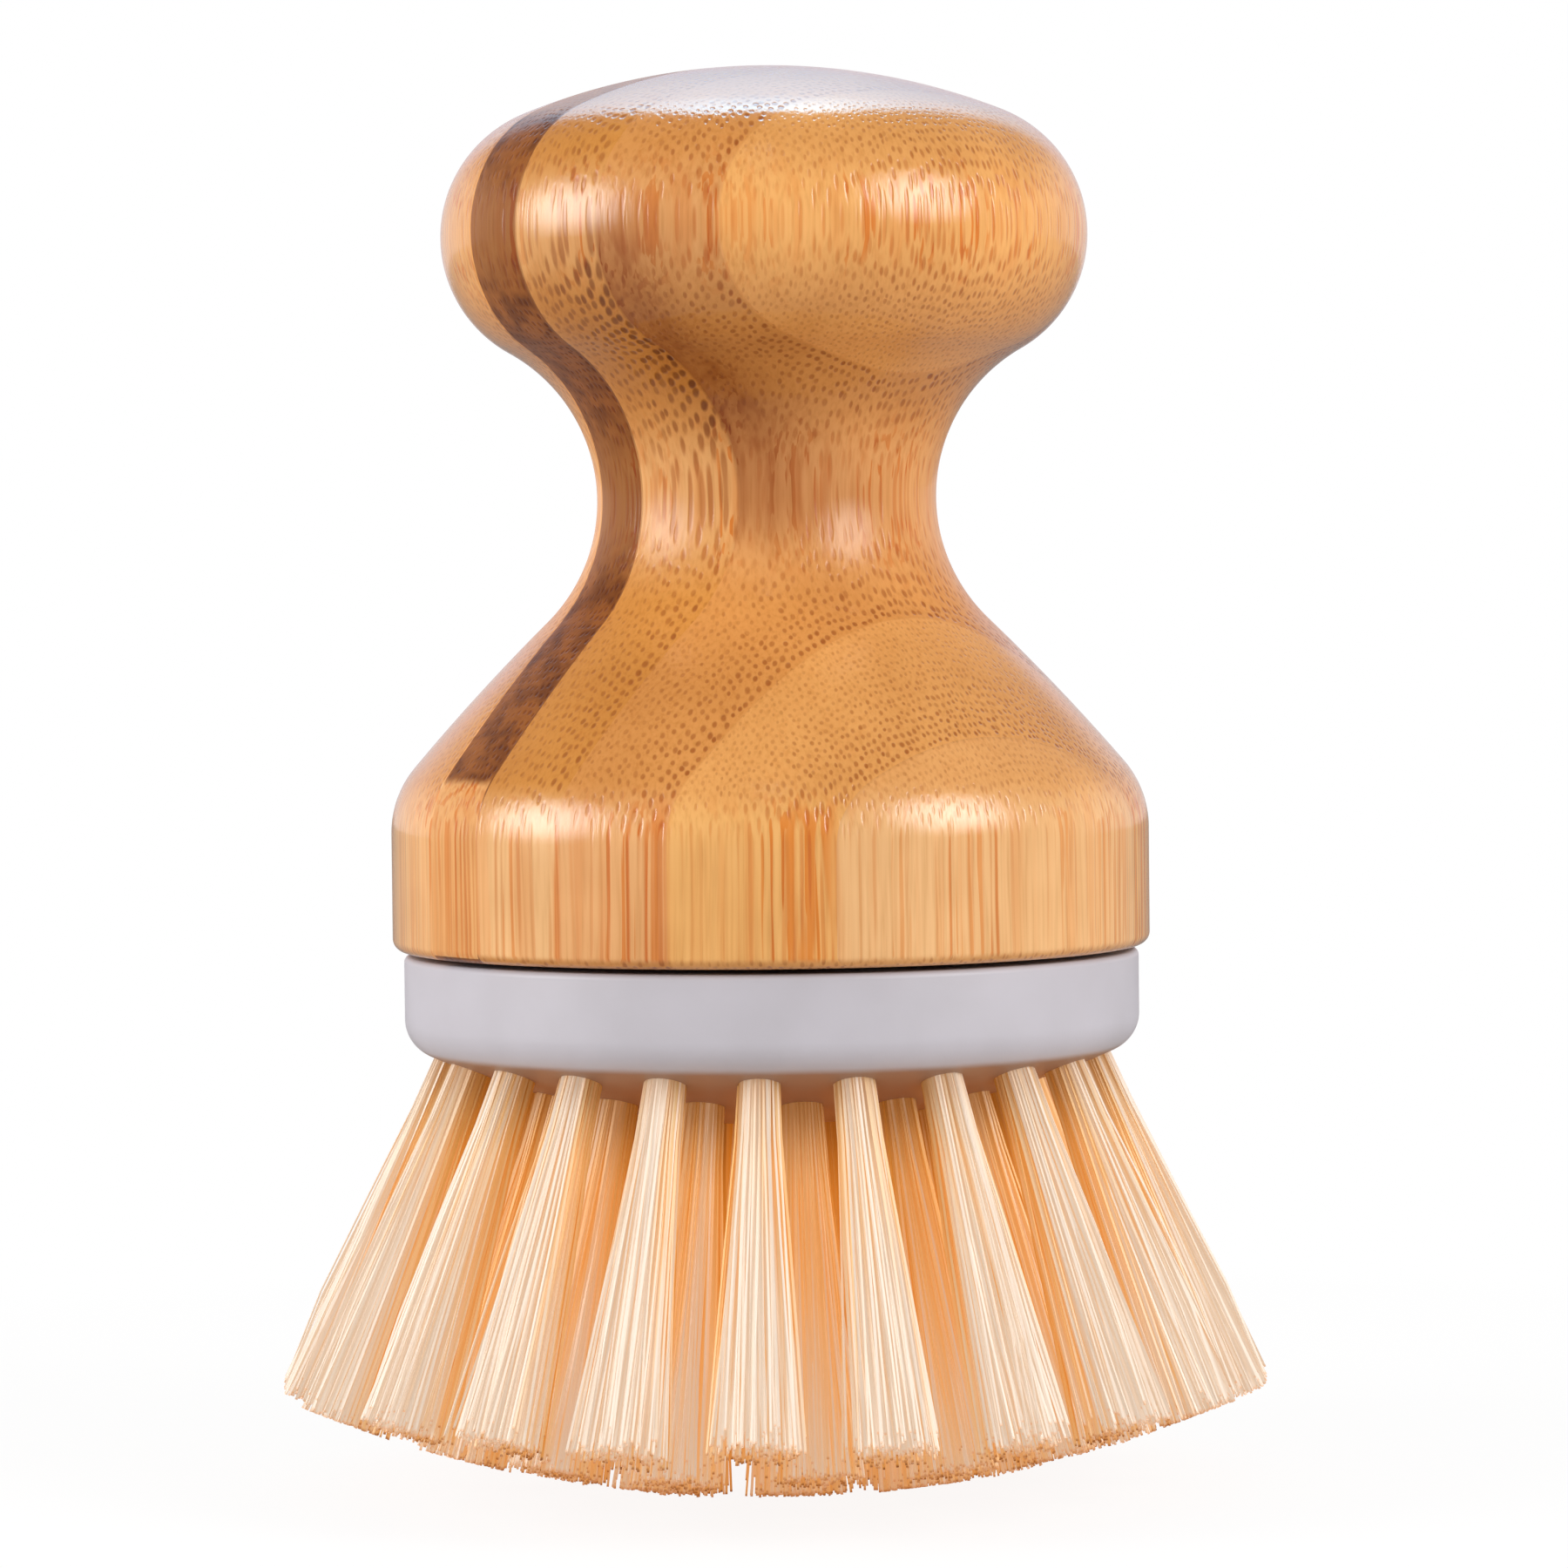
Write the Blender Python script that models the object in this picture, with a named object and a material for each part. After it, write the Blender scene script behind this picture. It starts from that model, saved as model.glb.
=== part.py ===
"""Pot brush: a turned bamboo handle that screws onto a plastic head of leaning bristle tufts.

Run it with: blender --background --python part.py
Units are metres and +Z is up. The brush stands on its inner bristle tips at z = 0, with its axis on the Z axis.
"""

import math

import bmesh
import bpy
from mathutils import Matrix, Vector

# Handle, turned from laminated bamboo. Its outline is a chain of arcs that run smoothly into each other,
# so its heights follow from these radii.
BASE_RADIUS = 0.0304
BASE_WALL = 0.0094  # straight wall above the seat, with the bottom edge's rounding
BASE_EDGE = 0.0010  # rounding of the bottom edge
SHOULDER_ARC = 0.0081
FLANK_ARC = 0.1700  # the flank is nearly straight
FLANK_START = math.radians(40.4)  # slope from the vertical where the flank leaves the shoulder
NECK_RADIUS = 0.0136
WAIST_ARC = 0.0136  # hollow arc that the fingers close round
KNOB_RADIUS = 0.0259
KNOB_ARC = 0.0105  # rounding of the knob's rim
CROWN_RISE = 0.0030  # how far the dome stands above the rim's own arc

# Threaded insert, a flanged brass tube glued into the handle's underside
INSERT_RADIUS = 0.0070
INSERT_LENGTH = 0.0160
INSERT_CHAMFER = 0.0007  # lead-in at the bore's mouth
FLANGE_RADIUS = 0.0095
FLANGE_THICKNESS = 0.0016
GLUE_GROOVE = 0.0005  # depth of each groove, and half its width
GLUE_GROOVES = 3

# Head bolt, moulded into the brush block
BOLT_RADIUS = 0.0040  # at the crests of its thread
BOLT_PROJECTION = 0.0114  # above the block's top
BOLT_CHAMFER = 0.0010
BOLT_HEAD_FLATS = 0.0130
BOLT_HEAD_THICKNESS = 0.0030
BOLT_HEAD_COVER = 0.0030  # plastic over the bolt's head

# Brush block, one plastic moulding with a domed underside
BLOCK_RADIUS = 0.0295
BLOCK_SIDE = 0.0051  # straight side, with the top edge's rounding
BLOCK_TOP_EDGE = 0.0005
BLOCK_EDGE = 0.0030  # rounding between the side and the domed underside
DOME_RADIUS = 0.0680
HOLE_RADIUS = 0.00165
HOLE_DEPTH = 0.0050

# Tufts, in rings, each square to the dome
TUFT_LENGTH = 0.0296  # from the block to the tips
TUFT_TIP_RADIUS = 0.0032
RIM_MARGIN = 0.0038  # from the block's side to the middle of the outer holes
INNER_RING = 0.0072
RINGS = (("inner", 6, 12.0), ("third", 11, 4.0), ("second", 16, 6.7), ("outer", 22, -2.2))  # name, tufts, start
STRANDS_ROUND = 6  # round one in the middle
STRAND_SIDES = 4
STRAND_ROOT = 0.00030
STRAND_TIP = 0.00075
ANCHOR_THICKNESS = 0.00045
ANCHOR_WIDTH = 0.0020
ANCHOR_HEIGHT = 0.0010

# Fits between the pieces
SEAT_GAP = 0.0004  # the dark line between the handle and the block
FIT = 0.0003

# Fineness of the round shapes
ARC_TOLERANCE = 0.00010  # how far an arc may stand off its chords
HANDLE_STEPS = 48
BLOCK_STEPS = 48
FITTING_STEPS = 24
HOLE_STEPS = 8
OVERSHOOT = 0.0020  # how far a cutter runs past what it cuts


def lean_of(radius):
    """How far a hole is tilted, which is square to the dome."""
    return math.asin(radius / DOME_RADIUS)


# Heights, worked up from the trimmed tips of the inner tufts
DOME_CENTRE = (DOME_RADIUS + TUFT_LENGTH) * math.cos(lean_of(INNER_RING))
EDGE_RUN = BLOCK_RADIUS - BLOCK_EDGE
EDGE_CENTRE = DOME_CENTRE - math.sqrt((DOME_RADIUS - BLOCK_EDGE) ** 2 - EDGE_RUN**2)
BLOCK_TOP = EDGE_CENTRE + BLOCK_SIDE
SEAT = BLOCK_TOP + SEAT_GAP
BOLT_HEAD_TOP = BLOCK_TOP - BOLT_HEAD_COVER - FIT
OUTER_RING = BLOCK_RADIUS - RIM_MARGIN


def clear_scene():
    for obj in list(bpy.data.objects):
        bpy.data.objects.remove(obj)


def material(name, colour, roughness, metallic=0.0):
    """A plain Principled material."""
    made = bpy.data.materials.new(name)
    made.use_nodes = True
    shader = made.node_tree.nodes["Principled BSDF"]
    shader.inputs["Base Color"].default_value = (*colour, 1.0)
    shader.inputs["Roughness"].default_value = roughness
    shader.inputs["Metallic"].default_value = metallic
    made.diffuse_color = (*colour, 1.0)
    return made


def link(name, mesh, finish):
    """A scene object from a mesh, with smooth round faces and sharp corners."""
    mesh.materials.clear()
    mesh.materials.append(finish)
    mesh.shade_smooth()
    mesh.set_sharp_from_angle(angle=math.radians(35))
    obj = bpy.data.objects.new(name, mesh)
    bpy.context.scene.collection.objects.link(obj)
    return obj


def hidden(name, mesh):
    """A cutter or a helper, which is no piece of the brush."""
    obj = bpy.data.objects.new(name, mesh)
    obj.hide_render = True
    obj.display_type = "WIRE"
    bpy.context.scene.collection.objects.link(obj)
    return obj


def combine(obj, helper, operation):
    boolean = obj.modifiers.new(helper.name, "BOOLEAN")
    boolean.operation = operation
    boolean.solver = "EXACT"
    boolean.object = helper


def fused(name, first, others):
    """One mesh from several that overlap, by Boolean unions."""
    body = hidden(name, first)
    helpers = [hidden(mesh.name, mesh) for mesh in others]
    for helper in helpers:
        combine(body, helper, "UNION")
    graph = bpy.context.evaluated_depsgraph_get()
    mesh = bpy.data.meshes.new_from_object(body.evaluated_get(graph))
    for helper in [body, *helpers]:
        bpy.data.objects.remove(helper)
    mesh.name = name
    return mesh


def arc(centre, radius, start, end):
    """Points (r, z) along an arc from angle start to angle end, both in radians from the +r direction."""
    step = 2 * math.acos(max(0.0, 1 - ARC_TOLERANCE / radius))
    count = max(2, math.ceil(abs(end - start) / step))
    angles = [start + (end - start) * i / count for i in range(count + 1)]
    return [(centre[0] + radius * math.cos(a), centre[1] + radius * math.sin(a)) for a in angles]


def mesh_of(shape, name):
    mesh = bpy.data.meshes.new(name)
    shape.to_mesh(mesh)
    shape.free()
    return mesh


def turned_mesh(name, outline, steps):
    """Spins an outline of (r, z) points, which starts and ends on the Z axis or closes on itself."""
    shape = bmesh.new()
    points = [shape.verts.new((r, 0.0, z)) for r, z in outline]
    edges = [shape.edges.new(pair) for pair in zip(points, points[1:])]
    if outline[0][0] > 0:
        edges.append(shape.edges.new((points[-1], points[0])))
    bmesh.ops.spin(
        shape, geom=points + edges, cent=(0, 0, 0), axis=(0, 0, 1), angle=2 * math.pi, steps=steps, use_merge=True
    )
    bmesh.ops.remove_doubles(shape, verts=shape.verts, dist=1e-6)
    bmesh.ops.recalc_face_normals(shape, faces=shape.faces)
    return mesh_of(shape, name)


def rod(shape, frame, low, high, low_radius, high_radius, sides):
    """Adds a capped cone or prism to a bmesh, between two heights on the frame's Z axis."""
    middle = frame @ Matrix.Translation((0.0, 0.0, (low + high) / 2))
    bmesh.ops.create_cone(
        shape,
        cap_ends=True,
        segments=sides,
        radius1=low_radius,
        radius2=high_radius,
        depth=high - low,
        matrix=middle,
    )


def rod_mesh(name, low, high, radius, sides):
    shape = bmesh.new()
    rod(shape, Matrix.Identity(4), low, high, radius, radius, sides)
    return mesh_of(shape, name)


def handle_outline():
    """The turned shape from the crown's top down the outside, then up the socket to its end on the axis."""
    wall_top = SEAT + BASE_WALL
    shoulder = (BASE_RADIUS - SHOULDER_ARC, wall_top)
    reach = FLANK_ARC - SHOULDER_ARC
    flank = (shoulder[0] - reach * math.cos(FLANK_START), wall_top - reach * math.sin(FLANK_START))
    waist_r = NECK_RADIUS + WAIST_ARC
    flank_end = math.acos((waist_r - flank[0]) / (FLANK_ARC + WAIST_ARC))  # where the flank runs into the waist
    neck = flank[1] + (FLANK_ARC + WAIST_ARC) * math.sin(flank_end)
    knob_r = KNOB_RADIUS - KNOB_ARC
    meeting = math.acos((waist_r - knob_r) / (WAIST_ARC + KNOB_ARC))  # where the waist runs into the knob
    knob = (knob_r, neck + (WAIST_ARC + KNOB_ARC) * math.sin(meeting))
    rise = KNOB_ARC + CROWN_RISE
    crown_radius = (rise**2 + knob_r**2 - KNOB_ARC**2) / (2 * CROWN_RISE)
    crown = (0.0, knob[1] + rise - crown_radius)
    rim_start = math.atan2(knob[1] - crown[1], knob_r)  # where the crown runs into the knob's rim
    edge = min(BASE_EDGE, BASE_WALL / 2)
    socket_end = SEAT + INSERT_LENGTH + FIT
    return [
        *arc(crown, crown_radius, math.pi / 2, rim_start)[:-1],
        *arc(knob, KNOB_ARC, rim_start, -meeting)[:-1],
        *arc((waist_r, neck), WAIST_ARC, math.pi - meeting, math.pi + flank_end)[:-1],
        *arc(flank, FLANK_ARC, flank_end, FLANK_START)[:-1],
        *arc(shoulder, SHOULDER_ARC, FLANK_START, 0.0),
        *arc((BASE_RADIUS - edge, SEAT + edge), edge, 0.0, -math.pi / 2),
        (FLANGE_RADIUS + FIT, SEAT),
        (FLANGE_RADIUS + FIT, SEAT + FLANGE_THICKNESS + FIT),
        (INSERT_RADIUS + FIT, SEAT + FLANGE_THICKNESS + FIT),
        (INSERT_RADIUS + FIT, socket_end),
        (0.0, socket_end),
    ]


def insert_outline():
    """A flanged tube with glue grooves outside and a chamfered bore."""
    bore = BOLT_RADIUS + FIT
    top = SEAT + INSERT_LENGTH
    flange_top = SEAT + FLANGE_THICKNESS
    outline = [
        (bore, top),
        (bore, SEAT + INSERT_CHAMFER),
        (bore + INSERT_CHAMFER, SEAT),
        (FLANGE_RADIUS, SEAT),
        (FLANGE_RADIUS, flange_top),
        (INSERT_RADIUS, flange_top),
    ]
    spacing = (top - flange_top) / (GLUE_GROOVES + 1)
    for i in range(GLUE_GROOVES):
        middle = flange_top + spacing * (i + 1)
        outline += [
            (INSERT_RADIUS, middle - GLUE_GROOVE),
            (INSERT_RADIUS - GLUE_GROOVE, middle),
            (INSERT_RADIUS, middle + GLUE_GROOVE),
        ]
    return [*outline, (INSERT_RADIUS, top)]


def bolt_outline():
    """The shank, from its tip down into the middle of the head."""
    tip = BLOCK_TOP + BOLT_PROJECTION
    inside_head = BOLT_HEAD_TOP - BOLT_HEAD_THICKNESS / 2
    return [
        (0.0, tip),
        (BOLT_RADIUS - BOLT_CHAMFER, tip),
        (BOLT_RADIUS, tip - BOLT_CHAMFER),
        (BOLT_RADIUS, inside_head),
        (0.0, inside_head),
    ]


def head_mesh(name, clearance):
    """The bolt's six-sided head, or with a clearance the room for it in the block."""
    low = BOLT_HEAD_TOP - BOLT_HEAD_THICKNESS - clearance
    radius = (BOLT_HEAD_FLATS / 2 + clearance) / math.cos(math.pi / 6)
    return rod_mesh(name, low, BOLT_HEAD_TOP + clearance, radius, 6)


def block_outline():
    """From the top's middle over the top edge, down the side and round the dome to its lowest point."""
    top_edge = min(BLOCK_TOP_EDGE, BLOCK_SIDE / 2)
    dome_start = math.atan2(EDGE_CENTRE - DOME_CENTRE, EDGE_RUN)
    return [
        (0.0, BLOCK_TOP),
        *arc((BLOCK_RADIUS - top_edge, BLOCK_TOP - top_edge), top_edge, math.pi / 2, 0.0),
        *arc((EDGE_RUN, EDGE_CENTRE), BLOCK_EDGE, 0.0, dome_start)[:-1],
        *arc((0.0, DOME_CENTRE), DOME_RADIUS, dome_start, -math.pi / 2),
    ]


def ring_places():
    """For each ring: its name, the frame of a hole's mouth on its +X side, and its tufts' angles round it."""
    last = len(RINGS) - 1
    for i, (name, count, start) in enumerate(RINGS):
        radius = INNER_RING + (OUTER_RING - INNER_RING) * i / last
        lean = lean_of(radius)
        mouth = Matrix.Translation((radius, 0.0, DOME_CENTRE - DOME_RADIUS * math.cos(lean)))
        front = math.radians(start) - math.pi / 2
        angles = [front + 2 * math.pi * k / count for k in range(count)]
        yield name, mouth @ Matrix.Rotation(-lean, 4, "Y"), angles


def drill_mesh():
    """All the tuft holes as one cutter of separate leaning rods."""
    shape = bmesh.new()
    for _, frame, angles in ring_places():
        for angle in angles:
            placed = Matrix.Rotation(angle, 4, "Z") @ frame
            rod(shape, placed, -OVERSHOOT, HOLE_DEPTH, HOLE_RADIUS, HOLE_RADIUS, HOLE_STEPS)
    return mesh_of(shape, "tuft_holes")


def corners(radius, sides):
    """The corners of a regular polygon round the frame's Z axis."""
    angles = [2 * math.pi * i / sides for i in range(sides)]
    return [Vector((radius * math.cos(a), radius * math.sin(a), 0.0)) for a in angles]


def loop(shape, frame, points):
    """A closed loop of vertices and edges, from points in the frame."""
    verts = [shape.verts.new(frame @ point) for point in points]
    edges = [shape.edges.new(pair) for pair in zip(verts, verts[1:] + verts[:1])]
    return verts, edges


def wall(shape, low, high):
    """Quads between two loops that have equally many corners."""
    for i, corner in enumerate(low):
        shape.faces.new((low[i - 1], corner, high[i], high[i - 1]))


def lifted(frame, height, outwards=0.0):
    return frame @ Matrix.Translation((outwards, 0.0, height))


def add_strand(shape, frame, root_circle, tip_circle, stands):
    """A strand from the hole's mouth to its tip. One that the brush stands on is cut flat at the floor."""
    roots, edges = loop(shape, lifted(frame, 0.0, root_circle), corners(STRAND_ROOT, STRAND_SIDES))
    tips, _ = loop(shape, lifted(frame, -TUFT_LENGTH, tip_circle), corners(STRAND_TIP, STRAND_SIDES))
    if stands:
        for root, tip in zip(roots, tips):
            along = tip.co - root.co
            tip.co = root.co - along * (root.co.z / along.z)
    wall(shape, roots, tips)
    shape.faces.new(tips)
    return edges


def tuft_mesh(name, frame, stands):
    """Splayed strands round a middle one, the bound root that fills the hole, and the wire anchor on its fold."""
    shape = bmesh.new()
    root = corners(HOLE_RADIUS - FIT, HOLE_STEPS)
    root_top = HOLE_DEPTH - FIT - ANCHOR_HEIGHT
    mouth, underside = loop(shape, frame, root)
    top, upper_side = loop(shape, lifted(frame, root_top), root)
    wall(shape, mouth, top)

    root_circle = (HOLE_RADIUS - FIT) * math.cos(math.pi / HOLE_STEPS) - STRAND_ROOT
    underside += add_strand(shape, frame, 0.0, 0.0, stands)
    for i in range(STRANDS_ROUND):
        turned = frame @ Matrix.Rotation(2 * math.pi * i / STRANDS_ROUND, 4, "Z")
        underside += add_strand(shape, turned, root_circle, TUFT_TIP_RADIUS - STRAND_TIP, stands)
    bmesh.ops.triangle_fill(shape, edges=underside, use_beauty=True)

    x, y = ANCHOR_THICKNESS / 2, ANCHOR_WIDTH / 2
    wire = [Vector(spot) for spot in ((x, y, 0.0), (-x, y, 0.0), (-x, -y, 0.0), (x, -y, 0.0))]
    wire_low, wire_edges = loop(shape, lifted(frame, root_top), wire)
    wire_top, _ = loop(shape, lifted(frame, root_top + ANCHOR_HEIGHT), wire)
    wall(shape, wire_low, wire_top)
    shape.faces.new(wire_top)
    bmesh.ops.triangle_fill(shape, edges=upper_side + wire_edges, use_beauty=True)
    bmesh.ops.recalc_face_normals(shape, faces=shape.faces)
    return mesh_of(shape, name)


def make_tufts(finish):
    """Every tuft is its own object, turned about the brush's axis, and those of a ring share one mesh."""
    standing = RINGS[0][0]
    for name, frame, angles in ring_places():
        mesh = tuft_mesh("tuft_" + name, frame, name == standing)
        for k, angle in enumerate(angles, 1):
            tuft = link(f"tuft_{name}_{k:02d}", mesh, finish)
            tuft.rotation_euler.z = angle


def make_bolt(finish):
    shank = turned_mesh("shank", bolt_outline(), FITTING_STEPS)
    link("head_bolt", fused("head_bolt", head_mesh("head", 0.0), [shank]), finish)


def make_block(finish):
    """The moulded block, with the room for the bolt and the drilled tuft holes cut out."""
    block = link("brush_block", turned_mesh("brush_block", block_outline(), BLOCK_STEPS), finish)
    shank_low = BOLT_HEAD_TOP - BOLT_HEAD_THICKNESS / 2
    shank_room = rod_mesh("shank_room", shank_low, BLOCK_TOP + OVERSHOOT, BOLT_RADIUS + FIT, FITTING_STEPS)
    bolt_room = fused("bolt_room", head_mesh("head_room", FIT), [shank_room])
    combine(block, hidden("bolt_room", bolt_room), "DIFFERENCE")
    combine(block, hidden("tuft_holes", drill_mesh()), "DIFFERENCE")


def main():
    clear_scene()
    bamboo = material("bamboo", (0.66, 0.34, 0.12), 0.35)
    brass = material("brass", (0.72, 0.52, 0.24), 0.30, metallic=1.0)
    steel = material("steel", (0.62, 0.62, 0.63), 0.28, metallic=1.0)
    grey_plastic = material("grey_plastic", (0.60, 0.59, 0.63), 0.45)
    bristle = material("bristle", (0.90, 0.72, 0.50), 0.50)
    link("handle", turned_mesh("handle", handle_outline(), HANDLE_STEPS), bamboo)
    link("threaded_insert", turned_mesh("threaded_insert", insert_outline(), FITTING_STEPS), brass)
    make_bolt(steel)
    make_block(grey_plastic)
    make_tufts(bristle)


main()
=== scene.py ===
# %% [markdown]
# # A pot brush of bamboo and pale bristles
#
# The real brush is a turned bamboo knob that screws onto a round plastic head full of bristle tufts.
# The imported model already has every piece as a plain solid, in metres, standing on its inner tufts at z = 0.
# This lesson dresses those solids: it turns the handle finely, grows some twelve thousand single filaments
# with Geometry Nodes, cuts real threads, and writes each finish as a node material.
#
# We load the imported model first, and bake each solid's placing into its mesh.

import math

import bmesh
import bpy
from mathutils import Matrix, Vector


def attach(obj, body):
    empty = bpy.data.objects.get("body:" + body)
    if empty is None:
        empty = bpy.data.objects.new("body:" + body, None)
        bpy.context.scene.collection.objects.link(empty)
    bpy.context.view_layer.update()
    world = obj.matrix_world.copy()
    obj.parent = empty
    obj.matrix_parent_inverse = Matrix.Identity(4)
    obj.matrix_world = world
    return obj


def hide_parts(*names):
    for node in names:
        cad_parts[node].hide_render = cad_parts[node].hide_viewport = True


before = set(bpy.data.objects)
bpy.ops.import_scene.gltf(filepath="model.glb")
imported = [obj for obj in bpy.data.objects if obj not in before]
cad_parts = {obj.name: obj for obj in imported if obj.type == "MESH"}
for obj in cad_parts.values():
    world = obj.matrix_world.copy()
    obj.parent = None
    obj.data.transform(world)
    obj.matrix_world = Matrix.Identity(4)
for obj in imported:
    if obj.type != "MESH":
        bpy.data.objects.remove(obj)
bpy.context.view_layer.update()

# %% [markdown]
# ## The sizes
#
# A turner works from a rod with a few marks on it. These are the marks, and they are the same radii as the
# solids have, so that each fine piece lies exactly on its plain one. All lengths are in metres.

# %% Sizes of the handle
MM = 0.001
BASE_RADIUS = 30.4 * MM
BASE_WALL = 9.4 * MM
BASE_EDGE = 1.0 * MM
SHOULDER_ARC = 8.1 * MM
FLANK_ARC = 170.0 * MM
FLANK_START = math.radians(40.4)
NECK_RADIUS = 13.6 * MM
WAIST_ARC = 13.6 * MM
KNOB_RADIUS = 25.9 * MM
KNOB_ARC = 10.5 * MM
CROWN_RISE = 3.0 * MM

# %% Sizes of the insert and the bolt
INSERT_RADIUS = 7.0 * MM
INSERT_LENGTH = 16.0 * MM
INSERT_CHAMFER = 0.7 * MM
FLANGE_RADIUS = 9.5 * MM
FLANGE_THICKNESS = 1.6 * MM
GLUE_GROOVE = 0.5 * MM
GLUE_GROOVES = 3
BOLT_RADIUS = 4.0 * MM
BOLT_PROJECTION = 11.4 * MM
BOLT_CHAMFER = 1.0 * MM
BOLT_HEAD_FLATS = 13.0 * MM
BOLT_HEAD_THICKNESS = 3.0 * MM
BOLT_HEAD_COVER = 3.0 * MM
THREAD_PITCH = 1.25 * MM
THREAD_DEPTH = 0.68 * MM
FIT = 0.3 * MM
SEAT_GAP = 0.4 * MM

# %% Sizes of the block and the tufts
BLOCK_RADIUS = 29.5 * MM
BLOCK_SIDE = 5.1 * MM
BLOCK_TOP_EDGE = 0.5 * MM
BLOCK_EDGE = 3.0 * MM
DOME_RADIUS = 68.0 * MM
HOLE_RADIUS = 1.65 * MM
HOLE_DEPTH = 5.0 * MM
TUFT_LENGTH = 29.6 * MM
RIM_MARGIN = 3.8 * MM
INNER_RING = 7.2 * MM
OUTER_RING = BLOCK_RADIUS - RIM_MARGIN
# Each ring: name, tufts, and the angle in degrees at which it starts
RINGS = (("inner", 6, 12.0), ("third", 11, 4.0), ("second", 16, 6.7), ("outer", 22, -2.2))

# %% Heights that follow from the sizes
DOME_CENTRE = (DOME_RADIUS + TUFT_LENGTH) * math.cos(math.asin(INNER_RING / DOME_RADIUS))
EDGE_RUN = BLOCK_RADIUS - BLOCK_EDGE
EDGE_CENTRE = DOME_CENTRE - math.sqrt((DOME_RADIUS - BLOCK_EDGE) ** 2 - EDGE_RUN**2)
BLOCK_TOP = EDGE_CENTRE + BLOCK_SIDE
SEAT = BLOCK_TOP + SEAT_GAP
BOLT_HEAD_TOP = BLOCK_TOP - BOLT_HEAD_COVER - FIT
BOLT_HEAD_LOW = BOLT_HEAD_TOP - BOLT_HEAD_THICKNESS
BOLT_START = BOLT_HEAD_TOP - BOLT_HEAD_THICKNESS / 2  # the shank begins inside the head

# %% Put an object into the scene
def shown(name, data):
    """A new object, linked to the scene."""
    made = bpy.data.objects.new(name, data)
    bpy.context.scene.collection.objects.link(made)
    return made


# %% [markdown]
# ## The camera
#
# The photograph was taken with a long lens, level with the waist of the handle and looking down two degrees,
# so the rim of the block curves only a little. The camera comes first, because every later choice of
# detail is judged through it.

# %% Camera
CAMERA_PLACE = Vector((1.15 * MM, -492 * MM, 73.8 * MM))
CAMERA_TILT = math.radians(90 - 2.05)
CAMERA_ROLL = math.radians(-0.6)

camera = shown("photo_camera", bpy.data.cameras.new("photo_camera"))
camera.data.lens = 140.6
camera.data.sensor_width = 36
camera.data.clip_start = 0.01
turned_down = Matrix.Rotation(CAMERA_TILT, 4, "X") @ Matrix.Rotation(CAMERA_ROLL, 4, "Z")
camera.matrix_world = Matrix.Translation(CAMERA_PLACE) @ turned_down
bpy.context.scene.camera = camera
bpy.context.scene.view_settings.view_transform = "Standard"

# %% [markdown]
# ## Small helpers for node trees
#
# Both the shapes and the finishes are node trees. Helpers that add a node and fill its sockets in one line
# keep each tree short enough to read like a recipe. What a node gives out is wrapped as a Value, so that a
# sum in the recipe looks like a sum: each sign between two values adds a math node to their tree.


# %% Values
def sign(operation, swapped=False):
    """What a sign between two values does: it adds a math node."""

    def step(self, other):
        return calc(operation, other, self) if swapped else calc(operation, self, other)

    return step


class Value:
    """What a node gives out."""

    __add__, __radd__ = sign("ADD"), sign("ADD", swapped=True)
    __sub__, __rsub__ = sign("SUBTRACT"), sign("SUBTRACT", swapped=True)
    __truediv__, __rtruediv__ = sign("DIVIDE"), sign("DIVIDE", swapped=True)
    __mul__, __pow__ = sign("MULTIPLY"), sign("POWER")

    def __init__(self, socket):
        self.socket = socket
        self.id_data = socket.id_data


# %% Node helpers
def tree_of(*values):
    """The tree that the first node or Value among these belongs to."""
    return next(value.id_data for value in values if hasattr(value, "id_data"))


def results(node):
    """All that a node gives out, by name."""
    return {socket.name: Value(socket) for socket in node.outputs if socket.enabled}


def pick(sockets, key):
    """A socket by number or name. Of several with one name, the one that is switched on."""
    if isinstance(key, int):
        return sockets[key]
    return next(socket for socket in sockets if socket.name == key and socket.enabled)


def fill(node, sockets):
    """Fills sockets from other nodes, Values or plain values. A colour may leave out its alpha."""
    for key, value in sockets.items():
        socket = pick(node.inputs, key)
        if isinstance(value, bpy.types.Node):
            value = next(iter(results(value).values()))
        if isinstance(value, Value):
            node.id_data.links.new(value.socket, socket)
        elif socket.type == "RGBA" and len(value) == 3:
            socket.default_value = (*value, 1.0)
        else:
            socket.default_value = value


def add(tree, kind, sockets=None, **settings):
    """Adds a node, sets its own settings and fills its sockets."""
    node = tree.nodes.new(kind)
    for name, value in settings.items():
        setattr(node, name, value)
    fill(node, sockets or {})
    return node


def result(tree, kind, sockets=None, output=None, **settings):
    """Adds a node, for the first value that it gives out or for the one of this name."""
    given_out = results(add(tree, kind, sockets, **settings))
    return given_out[output or next(iter(given_out))]


def calc(operation, first, second=0.0, **settings):
    """One step of arithmetic."""
    sockets = {0: first, 1: second}
    return result(tree_of(first, second), "ShaderNodeMath", sockets, operation=operation, **settings)


# %% Vectors
def joined(x, y, z):
    return result(tree_of(x, y, z), "ShaderNodeCombineXYZ", {0: x, 1: y, 2: z})


def apart(vector):
    """The x, y and z of a vector."""
    return results(add(tree_of(vector), "ShaderNodeSeparateXYZ", {0: vector})).values()


def scaled(vector, factor):
    return result(tree_of(vector), "ShaderNodeVectorMath", {0: vector, "Scale": factor}, operation="SCALE")


def summed(first, second):
    return result(tree_of(first), "ShaderNodeVectorMath", {0: first, 1: second}, operation="ADD")


def reach(vector):
    """How long a vector is."""
    return result(tree_of(vector), "ShaderNodeVectorMath", {0: vector}, operation="LENGTH")


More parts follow.
